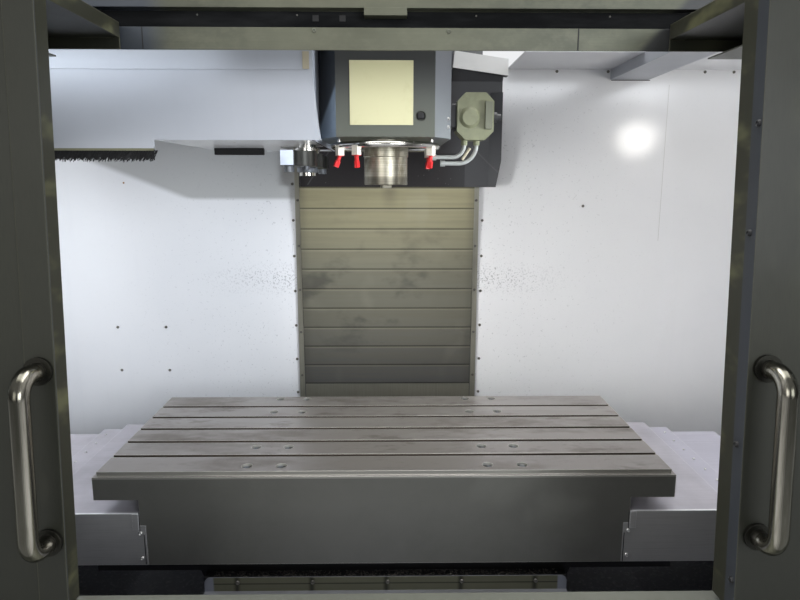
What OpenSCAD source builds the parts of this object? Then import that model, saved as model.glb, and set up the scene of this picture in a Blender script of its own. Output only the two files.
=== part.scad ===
// Vertical machining centre: C-frame casting, moving T-slot table on a saddle, telescoping
// steel way covers, vertical spindle head with side-mounted tool changer, sheet-metal
// enclosure with two sliding doors that lean back and carry their own strip of roof.
// Millimetres. The floor is Z 0, the operator stands at -Y, the spindle axis is at X 0.

/* [Table] */
// Length of the table along X
table_l = 1524; // [1480:4:1560]
// Depth of the table along Y
table_w = 616; // [600:4:624]
// Height of the table top above the floor
table_top = 880; // [870:2:900]
// Thickness of the table's end plates
plate_t = 76; // [60:2:90]
// How far the end plates reach past the table's body
end_reach = 107; // [90:1:120]
// Ledge that runs round the table below its top, at the ends
end_ledge = 10; // [6:1:14]
// Height of the table's front face
skirt_h = 264; // [250:2:270]
// Width of the T-slot mouths
slot_w = 16; // [12:1:18]
// Distance between T-slots
slot_pitch = 100; // [90:1:110]
// Number of T-slots
slot_count = 5; // [3:2:5]
// Depth of the T-slots
slot_d = 36; // [30:1:40]
// Width of the T part of the slots
slot_t_w = 28; // [24:1:32]
// Height of the T part of the slots
slot_t_h = 14; // [10:1:16]
// Diameter of the hole plugs in the table
plug_d = 29; // [20:1:30]
// How deep the hole plugs sit below the table top
plug_sink = 2.5; // [1:0.5:5]

/* [Travels] */
// Table travel each way along X
x_travel = 508; // [400:4:508]
// Saddle travel each way along Y
y_travel = 330; // [250:5:330]
// Head travel down from its highest point
z_travel = 635; // [500:5:640]

/* [Way covers] */
// Step down from the table top to the first X cover
cover_drop = 115; // [112:1:118]
// Step between neighbouring X covers
cover_step = 15; // [12:1:16]
// Sheet thickness of the way covers
cover_t = 2.5; // [1.5:0.5:3]
// Step between neighbouring X covers at their sides
cover_side_step = 8; // [6:1:9]
// How far the X covers reach past the table at the back
cover_rear = 28; // [16:1:32]
// Half width of the Y covers
y_cover_half = 494; // [485:1:500]
// Length of each Y cover
y_cover_l = 372; // [366:1:376]
// Half width of the Z cover leaves
leaf_half = 340; // [320:1:345]
// Visible height of each Z cover leaf
leaf_pitch = 80; // [76:1:82]
// Sheet thickness of the Z cover leaves
leaf_t = 2; // [1.5:0.5:2.5]

/* [Head] */
// Gap from the spindle nose to the table top with the head up
nose_gap = 743; // [730:1:760]
// Diameter of the spindle nose
nose_d = 128.57; // [110:0.01:135]
// How far the nose stands out of the head
nose_l = 126; // [110:1:136]
// Width of the head's front face
head_face_w = 260; // [220:2:280]
// Full width of the head
head_w = 360; // [340:2:370]
// Distance from the spindle axis to the head's front face
head_front = 150; // [140:1:160]
// Depth of the head's front chamfers
head_chamfer = 90; // [60:2:100]
// Height of the head body
head_h = 670; // [640:10:720]
// Radius of the coolant ring
ring_r = 147; // [140:1:150]
// Thickness of the coolant ring
ring_d = 18; // [12:1:20]
// Width of the junction box beside the head
box_w = 106; // [90:1:110]
// Height of the junction box
box_h = 132; // [110:1:140]

/* [Tool changer] */
// Distance from the spindle axis to the arm's axis
arm_offset = 225; // [220:1:240]
// Reach of each end of the arm
arm_reach = 225; // [215:1:230]
// Thickness of the arm
arm_t = 38; // [34:1:44]
// How far the arm drops to pull a tool
arm_stroke = 140; // [100:5:140]
// Number of tool pots
pot_count = 20; // [12:2:20]
// Radius of the pot circle
pot_r = 230; // [225:1:236]
// Diameter of a tool pot
pot_d = 62; // [50:1:64]

/* [Enclosure] */
// Half width of the enclosure
shell_half = 1640; // [1620:1:1700]
// Sheet thickness of the enclosure
sheet_t = 3; // [2:0.5:4]
// Height of the enclosure walls
wall_top = 2056; // [2030:1:2080]
// Distance from the spindle axis to the rear wall
wall_y = 680; // [678:1:690]
// Height of the door sill
sill_z = 852; // [845:1:858]
// Lean of the doors from upright
lean = 4.16; // [3.8:0.01:4.5]
// Distance from the spindle axis to the doors' rear face at the sill
door_back = 795; // [790:1:800]
// Thickness of the doors
door_t = 77; // [60:1:80]
// Width of each door
door_w = 740; // [700:5:760]
// Left door's inner edge as left open, from the spindle axis
door_left_x = 574; // [560:1:600]
// Right door's inner edge as left open, from the spindle axis
door_right_x = 627; // [600:1:640]
// Height of the door's roof strip above the floor
door_roof_z = 1943; // [1935:1:1950]
// Diameter of the handle tubes
handle_d = 32; // [22:1:36]
// Distance between a handle's two feet
handle_l = 302; // [250:1:350]
// Clear gap behind a handle
handle_gap = 47; // [40:1:60]
// Width of the door windows
window_w = 420; // [300:5:440]
// Height of the door windows
window_h = 560; // [400:5:600]
// Underside of the header beam
header_z = 1918; // [1905:1:1918]
// Depth of the roof panel along the top of the right rear wall
roof_depth = 340; // [200:10:400]
// Distance from the spindle axis to the header's front face
header_y = 400; // [395:1:410]

/* [Frame] */
// Half width of the base casting at its top
base_half = 455; // [440:1:455]
// Half width of the column
column_half = 380; // [360:1:400]
// Depth of the column at its foot
column_d = 440; // [400:5:480]
// Distance from the spindle axis to the column's front face
column_y = 790; // [785:1:800]
// Height of the column above the head's cover
column_rise = 81; // [60:1:120]
// Diameter of the ball screws
screw_d = 40; // [32:1:44]
// Width of the guide rails
rail_w = 45; // [35:1:50]
// Height of the levelling feet
foot_h = 60; // [50:1:70]

/* [Hidden] */
$fn = 48;

// Clearances and shared fits
slip = 0.3;
fit = 0.08;
lip_gap = 0.4;

// Colours as the photo shows them
cast_grey = [0.42, 0.43, 0.43];
steel = [0.56, 0.56, 0.53];
door_grey = [0.36, 0.37, 0.32];
white = [0.87, 0.88, 0.89];
dark = [0.22, 0.23, 0.25];
chrome = [0.8, 0.8, 0.82];
beige = [0.62, 0.64, 0.52];
black = [0.08, 0.08, 0.09];

// Overall depth, and the shift that puts the origin under the middle of the machine
front_y = -1180;
rear_y = column_y + column_d;
spindle_y = -(front_y + rear_y) / 2;

// Levels
saddle_top = table_top - 190;
saddle_bottom = saddle_top - 190;
base_top = saddle_bottom - 70;
rail_h = rail_w - 6;
truck_h = 70;
nose_z = table_top + nose_gap;
head_z = nose_z + nose_l;
column_top = head_z + head_h + column_rise;
skirt_z = table_top - skirt_h;

// Table body
table_half = table_l / 2;
body_half = table_half - end_reach;
ledge = 8;
plate_half = table_half + end_ledge;
ledge_drop = 12;
wall_t = 20;
step_in = 16;
step_z = table_top - 149;
plug_xs = [-374, -281, 275, 368];
plug_ys = [276, 147, -141, -267];
plug_depth = 18;
table_truck_x = 235;
x_rail_y = 190;
truck_l = 110;
truck_w = rail_w + 45;

// X covers: how far each one's outer end lies past the table body, and its length
cover_reach = [287, 367, 541, 725, 945];
cover_len = [287, 298, 338, 373, 428];
cover_lip = 6;
cover_back = table_w / 2 + cover_rear;

// Saddle
saddle_half = 790;
saddle_core = 480;
table_gap = 10;
saddle_depth = table_w / 2 - wall_t - table_gap;
wing_z = saddle_bottom + 80;
screw_r = screw_d / 2;
x_screw_z = saddle_top - 36;
channel_z = wing_z + 10;
x_screw_half = 600;
channel_half = 80;
arm_half = 25;
arm_y = table_w / 2 - 4 * cover_side_step - cover_t - arm_half - 8;
y_rail_x = 330;
y_truck_y = saddle_depth - 68;
y_screw_z = base_top - 30;
nut_half = 60;

// Y covers
y_cover_z = table_top - 345;
y_step = 12;
y_cover_front = table_w / 2;
y_follow = 485;
y_fixed = 648;

// Base
base_front = 1010;
bed_front_wall = 740;
bed_rear_wall = 660;
trench_half = 150;
trench_d = 130;

// Z way
apron_z = nose_z - 11;
duct_x = [244, 449];
function duct_z(x) = wall_top - 10 - (x - duct_x[0]) * 0.137;
roof_from = duct_x[1] + 11;
leaf_count = 11;
leaf_top = apron_z - 5;
leaf_h = leaf_pitch + 23;
leaf_front = 644;
leaf_space = leaf_t + 2;
z_rail_x = 230;
carriage_back = column_y - 55;
z_screw_y = (carriage_back + column_y) / 2 + 4;
z_screw_r = 16;

// Tool changer, and the beam that carries it from the column through the left rear wall
changer_top = 2400;
beam_x = [-520, -440];
beam_z = [head_z + 114, head_z + 194];
arm_top = nose_z + 88;
arm_bottom = arm_top - slip - arm_t - 14;
cover_low = nose_z + 93;
cover_raise = 21;

// Pendant and cabinet, placed from the side wall
pendant_x = shell_half - 60;
cabinet_x = [shell_half - 940, shell_half - 140];
cabinet_back = wall_y + 450;

// Doors: front face and rear face follow these lines as they rise
lean_z = sill_z + 28;
function lean_y(y, z) = y + tan(lean) * (z - lean_z);
door_z = sill_z + 14;
door_top = door_roof_z + 29;
door_front = door_back + door_t;
roller_r = 15;
roof_strip_back = header_y + 10;
hanger_back = roof_strip_back - 5;

// Slope of the front apron up to the sill
slope_low = [-base_front + 6, sill_z - 62];
slope_high = [-door_front - 14, sill_z];
function slope_z(y) =
    slope_low[1] + (y - slope_low[0]) * (slope_high[1] - slope_low[1]) / (slope_high[0] - slope_low[0]);

window_z = 1140;
window_x = 190;
handle_z = 1168;
handle_inset = 33;

// Sheet outlines: a folded sheet is a run of points with a thickness on its left
function unit(v) = v / norm(v);
function left(v) = [-v[1], v[0]];
function run(p, i) = unit(p[i + 1] - p[i]);
function before(p, i) = run(p, max(i - 1, 0));
function after(p, i) = run(p, min(i, len(p) - 2));
function fold(p, i) = let (n = unit(left(before(p, i)) + left(after(p, i)))) n / (n * left(before(p, i)));
function strip(p, t) = concat(p, [for (i = [len(p) - 1:-1:0]) p[i] + t * fold(p, i)]);
module sheet(points, t) {
    polygon(strip(points, t));
}

// Extrusions along the machine's axes, from one station to another
module along_x(a, b) {
    translate([a, 0, 0]) rotate([90, 0, 90]) linear_extrude(b - a) children();
}
module along_y(a, b) {
    translate([0, b, 0]) rotate([90, 0, 0]) linear_extrude(b - a) children();
}
module along_z(a, b) {
    translate([0, 0, a]) linear_extrude(b - a) children();
}
module block(low, high) {
    translate(low) cube(high - low);
}
module rod_x(a, b, at, r) {
    translate([a, at[0], at[1]]) rotate([0, 90, 0]) cylinder(r = r, h = b - a);
}
module rod_y(a, b, at, r) {
    translate([at[0], b, at[1]]) rotate([90, 0, 0]) cylinder(r = r, h = b - a);
}
module rod_z(a, b, at, r) {
    translate([at[0], at[1], a]) cylinder(r = r, h = b - a);
}
module both_sides() {
    children();
    mirror([1, 0, 0]) children();
}
module place() {
    translate([0, spindle_y, 0]) children();
}

// Guide rail outline, and a truck that straddles it, both standing on the origin
module rail_outline() {
    w = rail_w / 2;
    polygon([
        [-w, 0], [w, 0], [w, rail_h * 0.35], [w * 0.72, rail_h * 0.5], [w * 0.72, rail_h * 0.68],
        [w, rail_h * 0.82], [w, rail_h], [-w, rail_h], [-w, rail_h * 0.82],
        [-w * 0.72, rail_h * 0.68], [-w * 0.72, rail_h * 0.5], [-w, rail_h * 0.35]
    ]);
}
module truck_outline() {
    w = truck_w / 2;
    s = rail_w / 2 + slip;
    polygon([
        [-w, 12], [-s, 12], [-s, rail_h + slip], [s, rail_h + slip],
        [s, 12], [w, 12], [w, truck_h], [-w, truck_h]
    ]);
}

// Base casting: a bed with a screw trench, flared foot and a wide rear seat for the column
module base() {
    color(cast_grey) place() difference() {
        union() {
            along_y(-base_front, column_y) polygon([
                [-520, foot_h], [520, foot_h], [520, 150], [base_half, 230], [base_half, base_top],
                [-base_half, base_top], [-base_half, 230], [-520, 150]
            ]);
            block([-520, column_y - 90, foot_h], [520, rear_y, base_top - 60]);
            block([-column_half, column_y - 20, foot_h], [column_half, rear_y, base_top]);
        }
        block([-trench_half, -bed_front_wall, base_top - trench_d], [trench_half, bed_rear_wall, base_top + 1]);
        block([-trench_half, -base_front - 1, base_top - trench_d],
              [trench_half, -bed_front_wall - 30, base_top + 1]);
        rod_y(-bed_front_wall - 40, -bed_front_wall + 10, [0, y_screw_z], screw_r - 5 + fit);
        for (y = [-760, -380, 0, 380], s = [-1, 1])
            block([s > 0 ? base_half - 40 : -base_half - 1, y - 130, 250],
                  [s > 0 ? base_half + 1 : -base_half + 40, y + 130, base_top - 50]);
        block([-320, rear_y - 60, foot_h + 60], [320, rear_y + 1, base_top - 90]);
    }
}

// Column casting: tapering tower, cored out from behind with cross ribs
module column() {
    wall = 45;
    ribs = [base_top + wall, 1080, 1700, column_top - wall];
    color(cast_grey) place() {
        difference() {
            along_x(-column_half, column_half) polygon([
                [column_y, base_top], [rear_y, base_top], [rear_y, base_top + 120],
                [column_y + column_d * 0.72, column_top], [column_y, column_top]
            ]);
            for (i = [0:2])
                block([-column_half + wall, column_y + wall, ribs[i] + wall / 2],
                      [column_half - wall, rear_y + 1, ribs[i + 1] - wall / 2]);
            for (z = [850, 1400, 2050], s = [-1, 1])
                rod_x(s > 0 ? column_half - wall - 1 : -column_half - 1,
                      s > 0 ? column_half + 1 : -column_half + wall + 1, [column_y + 190, z], 80);
        }
        difference() {
            union() {
                block([-90, carriage_back + 12, 990], [90, column_y, 1040]);
                block([-90, carriage_back + 12, column_top - 60], [90, column_y, column_top]);
                block([-90, carriage_back - 45, column_top], [90, column_y + 60, column_top + 30]);
            }
            rod_z(1010, column_top + 31, [0, z_screw_y], z_screw_r - 4 + fit);
        }
    }
}

// Levelling screws and their pads under the base
module levelling_feet() {
    color(cast_grey) place()
        for (y = [-900, -200, 500, rear_y - 90], s = [-1, 1])
            translate([s * 440, y, 0]) {
                cylinder(d = 130, h = 22);
                translate([0, 0, 22]) cylinder(d1 = 90, d2 = 60, h = 14);
                translate([0, 0, 36]) cylinder(d = 42, h = foot_h - 36);
            }
}

// Linear guide rails for the saddle and for the head
module guide_rails() {
    color(steel) place() both_sides() {
        along_y(-650, 680) translate([y_rail_x, base_top]) rail_outline();
        translate([z_rail_x, column_y, 1010]) linear_extrude(column_top - 1050) rotate(180) rail_outline();
    }
}

// Feed motors of the Y and Z screws
module servo(l) {
    difference() {
        linear_extrude(12) square(150, center = true);
        for (x = [-62, 62], y = [-62, 62])
            translate([x, y, -1]) cylinder(d = 11, h = 14);
    }
    translate([0, 0, 12]) linear_extrude(l) difference() {
        square(128, center = true);
        for (a = [0:90:270])
            rotate(a) translate([64, 64]) circle(10);
    }
    translate([0, 0, 12 + l]) linear_extrude(28) square(112, center = true);
    translate([30, -20, 12 + l + 28]) cylinder(d = 34, h = 30);
}
module servo_motors() {
    color(dark) place() {
        translate([0, -bed_front_wall - 30, y_screw_z]) rotate([90, 0, 0]) servo(130);
        translate([0, z_screw_y, column_top + 30]) servo(150);
    }
}

// Ball screws, each with a plain journal at its driven end
module x_screw() {
    color(steel) place() {
        rod_x(-x_screw_half, x_screw_half, [0, x_screw_z], screw_r);
        rod_x(x_screw_half, x_screw_half + 50 - slip, [0, x_screw_z], screw_r - 5);
    }
}
module y_screw() {
    color(steel) place() {
        rod_y(-bed_front_wall + slip, bed_rear_wall - slip, [0, y_screw_z], screw_r);
        rod_y(-bed_front_wall - 30 + slip, -bed_front_wall + slip, [0, y_screw_z], screw_r - 5);
    }
}
module z_screw() {
    color(steel) place() {
        rod_z(1040 + slip, column_top - 60 - slip, [0, z_screw_y], z_screw_r);
        rod_z(1010 + slip, column_top + 30 - slip, [0, z_screw_y], z_screw_r - 4);
    }
}

// Chip pans either side of the bed, and the fixed front leaf of the Y cover
module chip_pan() {
    pan = [
        [base_half + 4, base_top + 48], [base_half + 4, base_top - 50], [800, base_top - 50],
        [shell_half - sheet_t, base_top + 160]
    ];
    color(dark) place() {
        along_y(-base_front - 20, wall_y) sheet(pan, sheet_t);
        mirror([1, 0, 0]) along_y(-base_front - 20, wall_y) sheet(pan, sheet_t);
        y_cover(3, -y_fixed - y_cover_l, -y_fixed);
    }
}

// Front apron with the door sill, one folded sheet with closed ends
module front_apron() {
    inner = -(door_back - 17);
    color(door_grey) place() {
        along_x(-shell_half + sheet_t, shell_half - sheet_t) sheet([
            [-base_front - 10, foot_h], [-base_front - 30, foot_h + 20], [-base_front - 30, 720],
            slope_low, slope_high, [inner, sill_z], [inner, sill_z - 70]
        ], -sheet_t);
        block([-shell_half + sheet_t, -base_front - 10, foot_h], [shell_half - sheet_t, -base_front, foot_h + 60]);
        block([-shell_half + sheet_t, -(door_back + door_t / 2) - 4, sill_z],
              [shell_half - sheet_t, -(door_back + door_t / 2) + 4, sill_z + 5]);
    }
}

// Fixed front panels beside the door opening, each folded over at the top into the roof
module front_panels() {
    y0 = -(door_back - 14);
    top = header_z - 13;
    panel = [[lean_y(y0, sill_z), sill_z], [lean_y(y0, top), top], [-header_y, top]];
    color(door_grey) place() both_sides()
        along_x(720, shell_half - sheet_t) difference() {
            sheet(panel, -sheet_t);
            square_span([y0 - 20, sill_z - 10], [y0 + 20, sill_z]);
        }
}

// Side walls, flat sheets that follow the outline of the front
module side_panels() {
    y0 = -(door_back - 14);
    top = header_z - 10;
    color(white) place() both_sides()
        along_x(shell_half - sheet_t, shell_half) polygon([
            [-base_front - 30, foot_h + 20], [-base_front - 10, foot_h], [wall_y + 30, foot_h],
            [wall_y + 30, wall_top], [-header_y + 70, wall_top], [-header_y, top],
            [lean_y(y0, top), top], [lean_y(y0, sill_z), sill_z], slope_high, slope_low, [-base_front - 30, 720]
        ]);
}

// Rear walls either side of the Z cover, folded back at the top, with a strip of roof on the right
module rear_walls() {
    low = base_top - 50 - sheet_t;
    seat = base_half + slip;
    color(white) place() {
        difference() {
            both_sides() along_x(leaf_half + 12, shell_half - sheet_t) square_span([wall_y, low], [wall_y + sheet_t, wall_top]);
            block([-seat, wall_y - 1, low - 1], [seat, wall_y + sheet_t + 1, base_top]);
            block([beam_x[0] - 3, wall_y - 1, beam_z[0] - 3], [beam_x[1] + 3, wall_y + sheet_t + 1, beam_z[1] + 3]);
        }
        along_x(-shell_half + sheet_t, -leaf_half - 12) square_span([wall_y, wall_top - 1], [wall_y + 30, wall_top + sheet_t]);
        along_x(leaf_half + 12, shell_half - sheet_t) square_span([wall_y, wall_top - 1], [wall_y + 30, wall_top + sheet_t]);
        along_x(roof_from, shell_half - sheet_t)
            square_span([wall_y - roof_depth, wall_top], [wall_y + 1, wall_top + sheet_t]);
    }
}

// Header beam across the front of the roof opening, with the slot that the doors hang in
module header_beam() {
    color(steel) place() {
        along_x(-shell_half + sheet_t, shell_half - sheet_t) polygon([
            [-header_y, header_z], [-header_y + sheet_t, header_z], [-header_y + sheet_t, header_z + 24],
            [-header_y + 70, header_z + 24], [-header_y + 70, wall_top],
            [-header_y, wall_top], [-header_y, header_z + 88], [-header_y + 30, header_z + 88],
            [-header_y + 30, header_z + 47], [-header_y, header_z + 47]
        ]);
        block([-44, -hanger_back + 1, header_z + 72], [50, -header_y + 31, header_z + 88.5]);
    }
}

// White channel under the open roof, from the header to the rear wall
module roof_beam() {
    beam_h = 38;
    color(white) place() difference() {
        block([858, -header_y + 70, wall_top - beam_h], [1004, wall_y, wall_top]);
        block([858 + sheet_t, -header_y + 70 + sheet_t, wall_top - beam_h + sheet_t],
              [1004 - sheet_t, wall_y - sheet_t, wall_top + 1]);
    }
}

// One leaf of the Z cover: a plate with a hem that wipes the leaf below it
module leaf(i) {
    y = leaf_front + leaf_space * (i - 1);
    z = leaf_top - leaf_pitch * i;
    color(steel) place() {
        block([-leaf_half, y, z], [leaf_half, y + leaf_t, z + leaf_h]);
        block([-leaf_half, y, z], [leaf_half, y + leaf_space - lip_gap, z + 6]);
    }
}
module z_leaf_1() {
    leaf(1);
}
module z_leaf_2() {
    leaf(2);
}
module z_leaf_3() {
    leaf(3);
}
module z_leaf_4() {
    leaf(4);
}
module z_leaf_5() {
    leaf(5);
}
module z_leaf_6() {
    leaf(6);
}
module z_leaf_7() {
    leaf(7);
}
module z_leaf_8() {
    leaf(8);
}
module z_leaf_9() {
    leaf(9);
}
module z_leaf_10() {
    leaf(10);
}

// Guide strips beside the Z cover, the sill under it and its lowest, fixed leaf
module way_cover_frame() {
    low = leaf_top - leaf_pitch * leaf_count;
    last = leaf_front + leaf_space * (leaf_count - 1) + leaf_t;
    leaf(leaf_count);
    color(steel) place() {
        both_sides() block([leaf_half + 2, wall_y - 8, low - 30], [leaf_half + 22, wall_y, leaf_top + 420]);
        block([-leaf_half - 12, wall_y - 8, low - 30], [leaf_half + 12, last, low]);
        block([-leaf_half + 10, last, low - 30], [leaf_half - 10, last + 3, low + 60]);
    }
}

// Tool changer cover: a white shell, open below and behind, stepped along its lower edge
module tool_changer_cover() {
    out = -1150;
    in = -head_w / 2 - 3;
    step = -589;
    low = cover_low;
    top = changer_top;
    front = -200;
    back = 440;
    flare = 17;
    color(white) place() {
        difference() {
            block([out, front, low], [in, back, top]);
            block([out + sheet_t, front + sheet_t, low - 1], [in - sheet_t, back + 1, top - sheet_t]);
            block([step, front - 1, low - 1], [in + 1, back + 1, low + cover_raise]);
        }
        along_y(front, front + sheet_t) polygon([
            [in - 1, header_z - 15], [in, header_z - 15], [in + flare, low + cover_raise], [in - 1, low + cover_raise]
        ]);
        along_y(front + sheet_t - 0.01, front + 24) polygon([
            [in, header_z - 60], [in + flare, low + cover_raise], [in + flare - sheet_t, low + cover_raise],
            [in - 1, header_z - 75]
        ]);
    }
}

// Bristle strip under the outer part of the tool changer cover
module brush_strip() {
    low = cover_low;
    color(black) place() {
        block([-1147, -200, low - 6], [-592, -192, low]);
        along_y(-198, -194) polygon(concat(
            [[-592, low - 6], [-1147, low - 6]],
            [for (i = [0:60]) [-1147 + i * 555 / 60, low - (i % 2 == 0 ? 30 : 22)]]
        ));
    }
}

// Cam box that swings and drops the arm, on a beam from the column, with the carousel's axle
module tool_changer_drive() {
    hub = [120, 2060];
    color(dark) place() {
        difference() {
            block([-arm_offset - 62, -70, head_z + 10], [-arm_offset + 36, 90, head_z + 214]);
            rod_z(head_z + 9, head_z + 155, [-arm_offset, 0], 25 + fit);
        }
        block([beam_x[0], 10, beam_z[0]], [-arm_offset - 62, 80, beam_z[1]]);
        block([beam_x[0], 10, beam_z[0]], [beam_x[1], column_y + 120, beam_z[1]]);
        block([beam_x[0], 40, beam_z[1]], [beam_x[1], 200, 2140]);
        block([beam_x[0] + 10, 150, 2139], [beam_x[1] - 10, 200, changer_top - sheet_t]);
        block([beam_x[0], wall_y + 60, beam_z[1]], [beam_x[1], column_y + 120, 2200]);
        block([beam_x[1], column_y + 20, 1960], [-column_half, column_y + 120, 2200]);
        rod_x(-702, -520, hub, 30);
        rod_x(-706, -690 - slip, hub, 42);
        rod_x(-560 + slip, -520, hub, 45);
    }
}

// Carousel of tool pots on its axle
module carousel() {
    hub = [120, 2060];
    color(steel) place() difference() {
        union() {
            rod_x(-645, -622, hub, pot_r + pot_d / 2 + 6);
            rod_x(-690, -560, hub, 60);
            for (i = [0:pot_count - 1])
                rotate_about_x(hub, i * 360 / pot_count) {
                    rod_x(-700, -640, [hub[0], hub[1] + pot_r], pot_d / 2);
                    rod_x(-760, -699, [hub[0], hub[1] + pot_r], pot_d / 2 - 8);
                }
        }
        rod_x(-691, -559, hub, 30 + slip);
        for (i = [0:5])
            rotate_about_x(hub, i * 60)
                rod_x(-646, -621, [hub[0], hub[1] + 125], 42);
    }
}
module rotate_about_x(at, a) {
    translate([0, at[0], at[1]]) rotate([a, 0, 0]) translate([0, -at[0], -at[1]]) children();
}

// Arm: the shaft that drops, and the double-ended arm that turns on it
module arm_shaft() {
    color(chrome) place() {
        rod_z(arm_top, head_z + 150, [-arm_offset, 0], 25);
        rod_z(arm_top, arm_top + 16, [-arm_offset, 0], 36);
        rod_z(arm_bottom - 10, arm_top + 1, [-arm_offset, 0], 18);
        rod_z(arm_bottom - 10, arm_bottom - slip, [-arm_offset, 0], 24);
    }
}
module arm_half() {
    difference() {
        union() {
            linear_extrude(arm_t) polygon([
                [-32, 0], [32, 0], [38, -arm_reach + 70], [46, -arm_reach + 50],
                [46, -arm_reach], [-38, -arm_reach - 20], [-38, -arm_reach + 50], [-34, -arm_reach + 70]
            ]);
            translate([-20, -arm_reach + 10, -16]) cylinder(d = 26, h = 17);
            translate([22, -arm_reach + 30, -10]) cylinder(d = 16, h = 11);
        }
        translate([30, -arm_reach - 16, -30]) cylinder(r = 34, h = arm_t + 60);
        translate([0, -arm_reach + 110, arm_t - 10]) cylinder(d = 22, h = 20);
    }
}
module tool_arm() {
    z = arm_top - slip;
    color(chrome) place() translate([-arm_offset, 0, z - arm_t]) difference() {
        union() {
            cylinder(r = 45, h = arm_t);
            translate([0, 0, -14]) cylinder(r = 30, h = 15);
            for (a = [0, 180])
                rotate(a) arm_half();
        }
        translate([0, 0, -20]) cylinder(r = 18 + fit, h = arm_t + 30);
    }
}

// Electrical cabinet behind the right rear wall, open at the back where its door closes it
module electrical_cabinet() {
    low = [cabinet_x[0], wall_y + sheet_t, 120];
    high = [cabinet_x[1], cabinet_back, 1980];
    hinge = [cabinet_x[1], cabinet_back + 10];
    color(white) place() {
        difference() {
            block(low, high);
            block(low + [20, 20, 20], high + [-20, 1, -20]);
        }
        block(low + [30, 20, 80], [high[0] - 30, low[1] + 40, high[2] - 80]);
        for (x = [low[0], high[0] - 60])
            block([x, low[1] + 27, 0], [x + 60, high[1] - 20, low[2] + 1]);
        for (z = [300, 1050, 1800]) {
            rod_z(z - 26, z - 2, hinge, 9);
            block([hinge[0] - 6, high[1] - 10, z - 26], [hinge[0] + 6, hinge[1], z - 2]);
            rod_z(z - 26, z + 80, hinge, 4 - fit);
        }
    }
}
module cabinet_door() {
    low = [cabinet_x[0] + 2, cabinet_back + 0.5, 122];
    high = [cabinet_x[1] - 10, cabinet_back + 20, 1978];
    hinge = [cabinet_x[1], cabinet_back + 10];
    color(white) place() {
        difference() {
            block(low, high);
            block(low + [20, -2, 20], high - [20, 3, 20]);
        }
        for (z = [300, 1050, 1800])
            difference() {
                union() {
                    rod_z(z, z + 80, hinge, 9);
                    block([high[0] - 5, hinge[1] - 4, z], [hinge[0], hinge[1] + 4, z + 80]);
                }
                rod_z(z - 1, z + 81, hinge, 4);
            }
        block([low[0] + 38, high[1], 1000], [low[0] + 63, high[1] + 12, 1150]);
    }
}

// Control pendant: fixed arm, swinging case with its keys, and the emergency stop
module pendant_arm() {
    color(door_grey) place() {
        rod_z(sill_z, 1900, [pendant_x, -950], 30);
        along_x(pendant_x - 50, pendant_x + 48) polygon([
            [-1000, slope_z(-1000)], [-890, slope_z(-890)], [-890, sill_z + 14], [-1000, sill_z + 14]
        ]);
        rod_y(-1110, -950, [pendant_x, 1870], 30);
        rod_z(1790, 1900, [pendant_x, -1110], 30);
        rod_z(1700, 1790, [pendant_x, -1110], 14);
    }
}
module pendant_case() {
    color(dark) place() difference() {
        union() {
            along_y(-1160, -1060) offset(r = 18) offset(r = -18)
                square_span([pendant_x - 450, 1180], [pendant_x + 40, 1789.5]);
            along_y(-1166, -1160) square_span([pendant_x - 420, 1500], [pendant_x - 30, 1760]);
            for (row = [0:4], col = [0:9])
                translate([pendant_x - 415 + col * 37, -1164, 1240 + row * 42]) cube([28, 5, 28]);
        }
        along_y(-1167, -1163) square_span([pendant_x - 405, 1515], [pendant_x - 45, 1745]);
        rod_z(1699, 1791, [pendant_x, -1110], 14 + fit);
        rod_y(-1161, -1120, [pendant_x + 10, 1330], 9 + slip);
    }
}
module square_span(low, high) {
    translate(low) square(high - low);
}
module emergency_stop() {
    color([0.75, 0.1, 0.08]) place() {
        rod_y(-1170, -1135, [pendant_x + 10, 1330], 9);
        translate([pendant_x + 10, -1168, 1330]) rotate([90, 0, 0]) cylinder(r1 = 17, r2 = 22, h = 5);
        translate([pendant_x + 10, -1173, 1330]) rotate([90, 0, 0]) cylinder(r = 22, h = 7);
    }
}

// Door: hollow leaning leaf with a window frame, a strip of roof and the rollers it runs on
module door_outline(inset) {
    polygon([
        [lean_y(-door_front + inset, door_z + inset), door_z + inset],
        [lean_y(-door_back - inset, door_z + inset), door_z + inset],
        [lean_y(-door_back - inset, door_top - inset), door_top - inset],
        [lean_y(-door_front + inset, door_top - inset), door_top - inset]
    ]);
}
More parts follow.
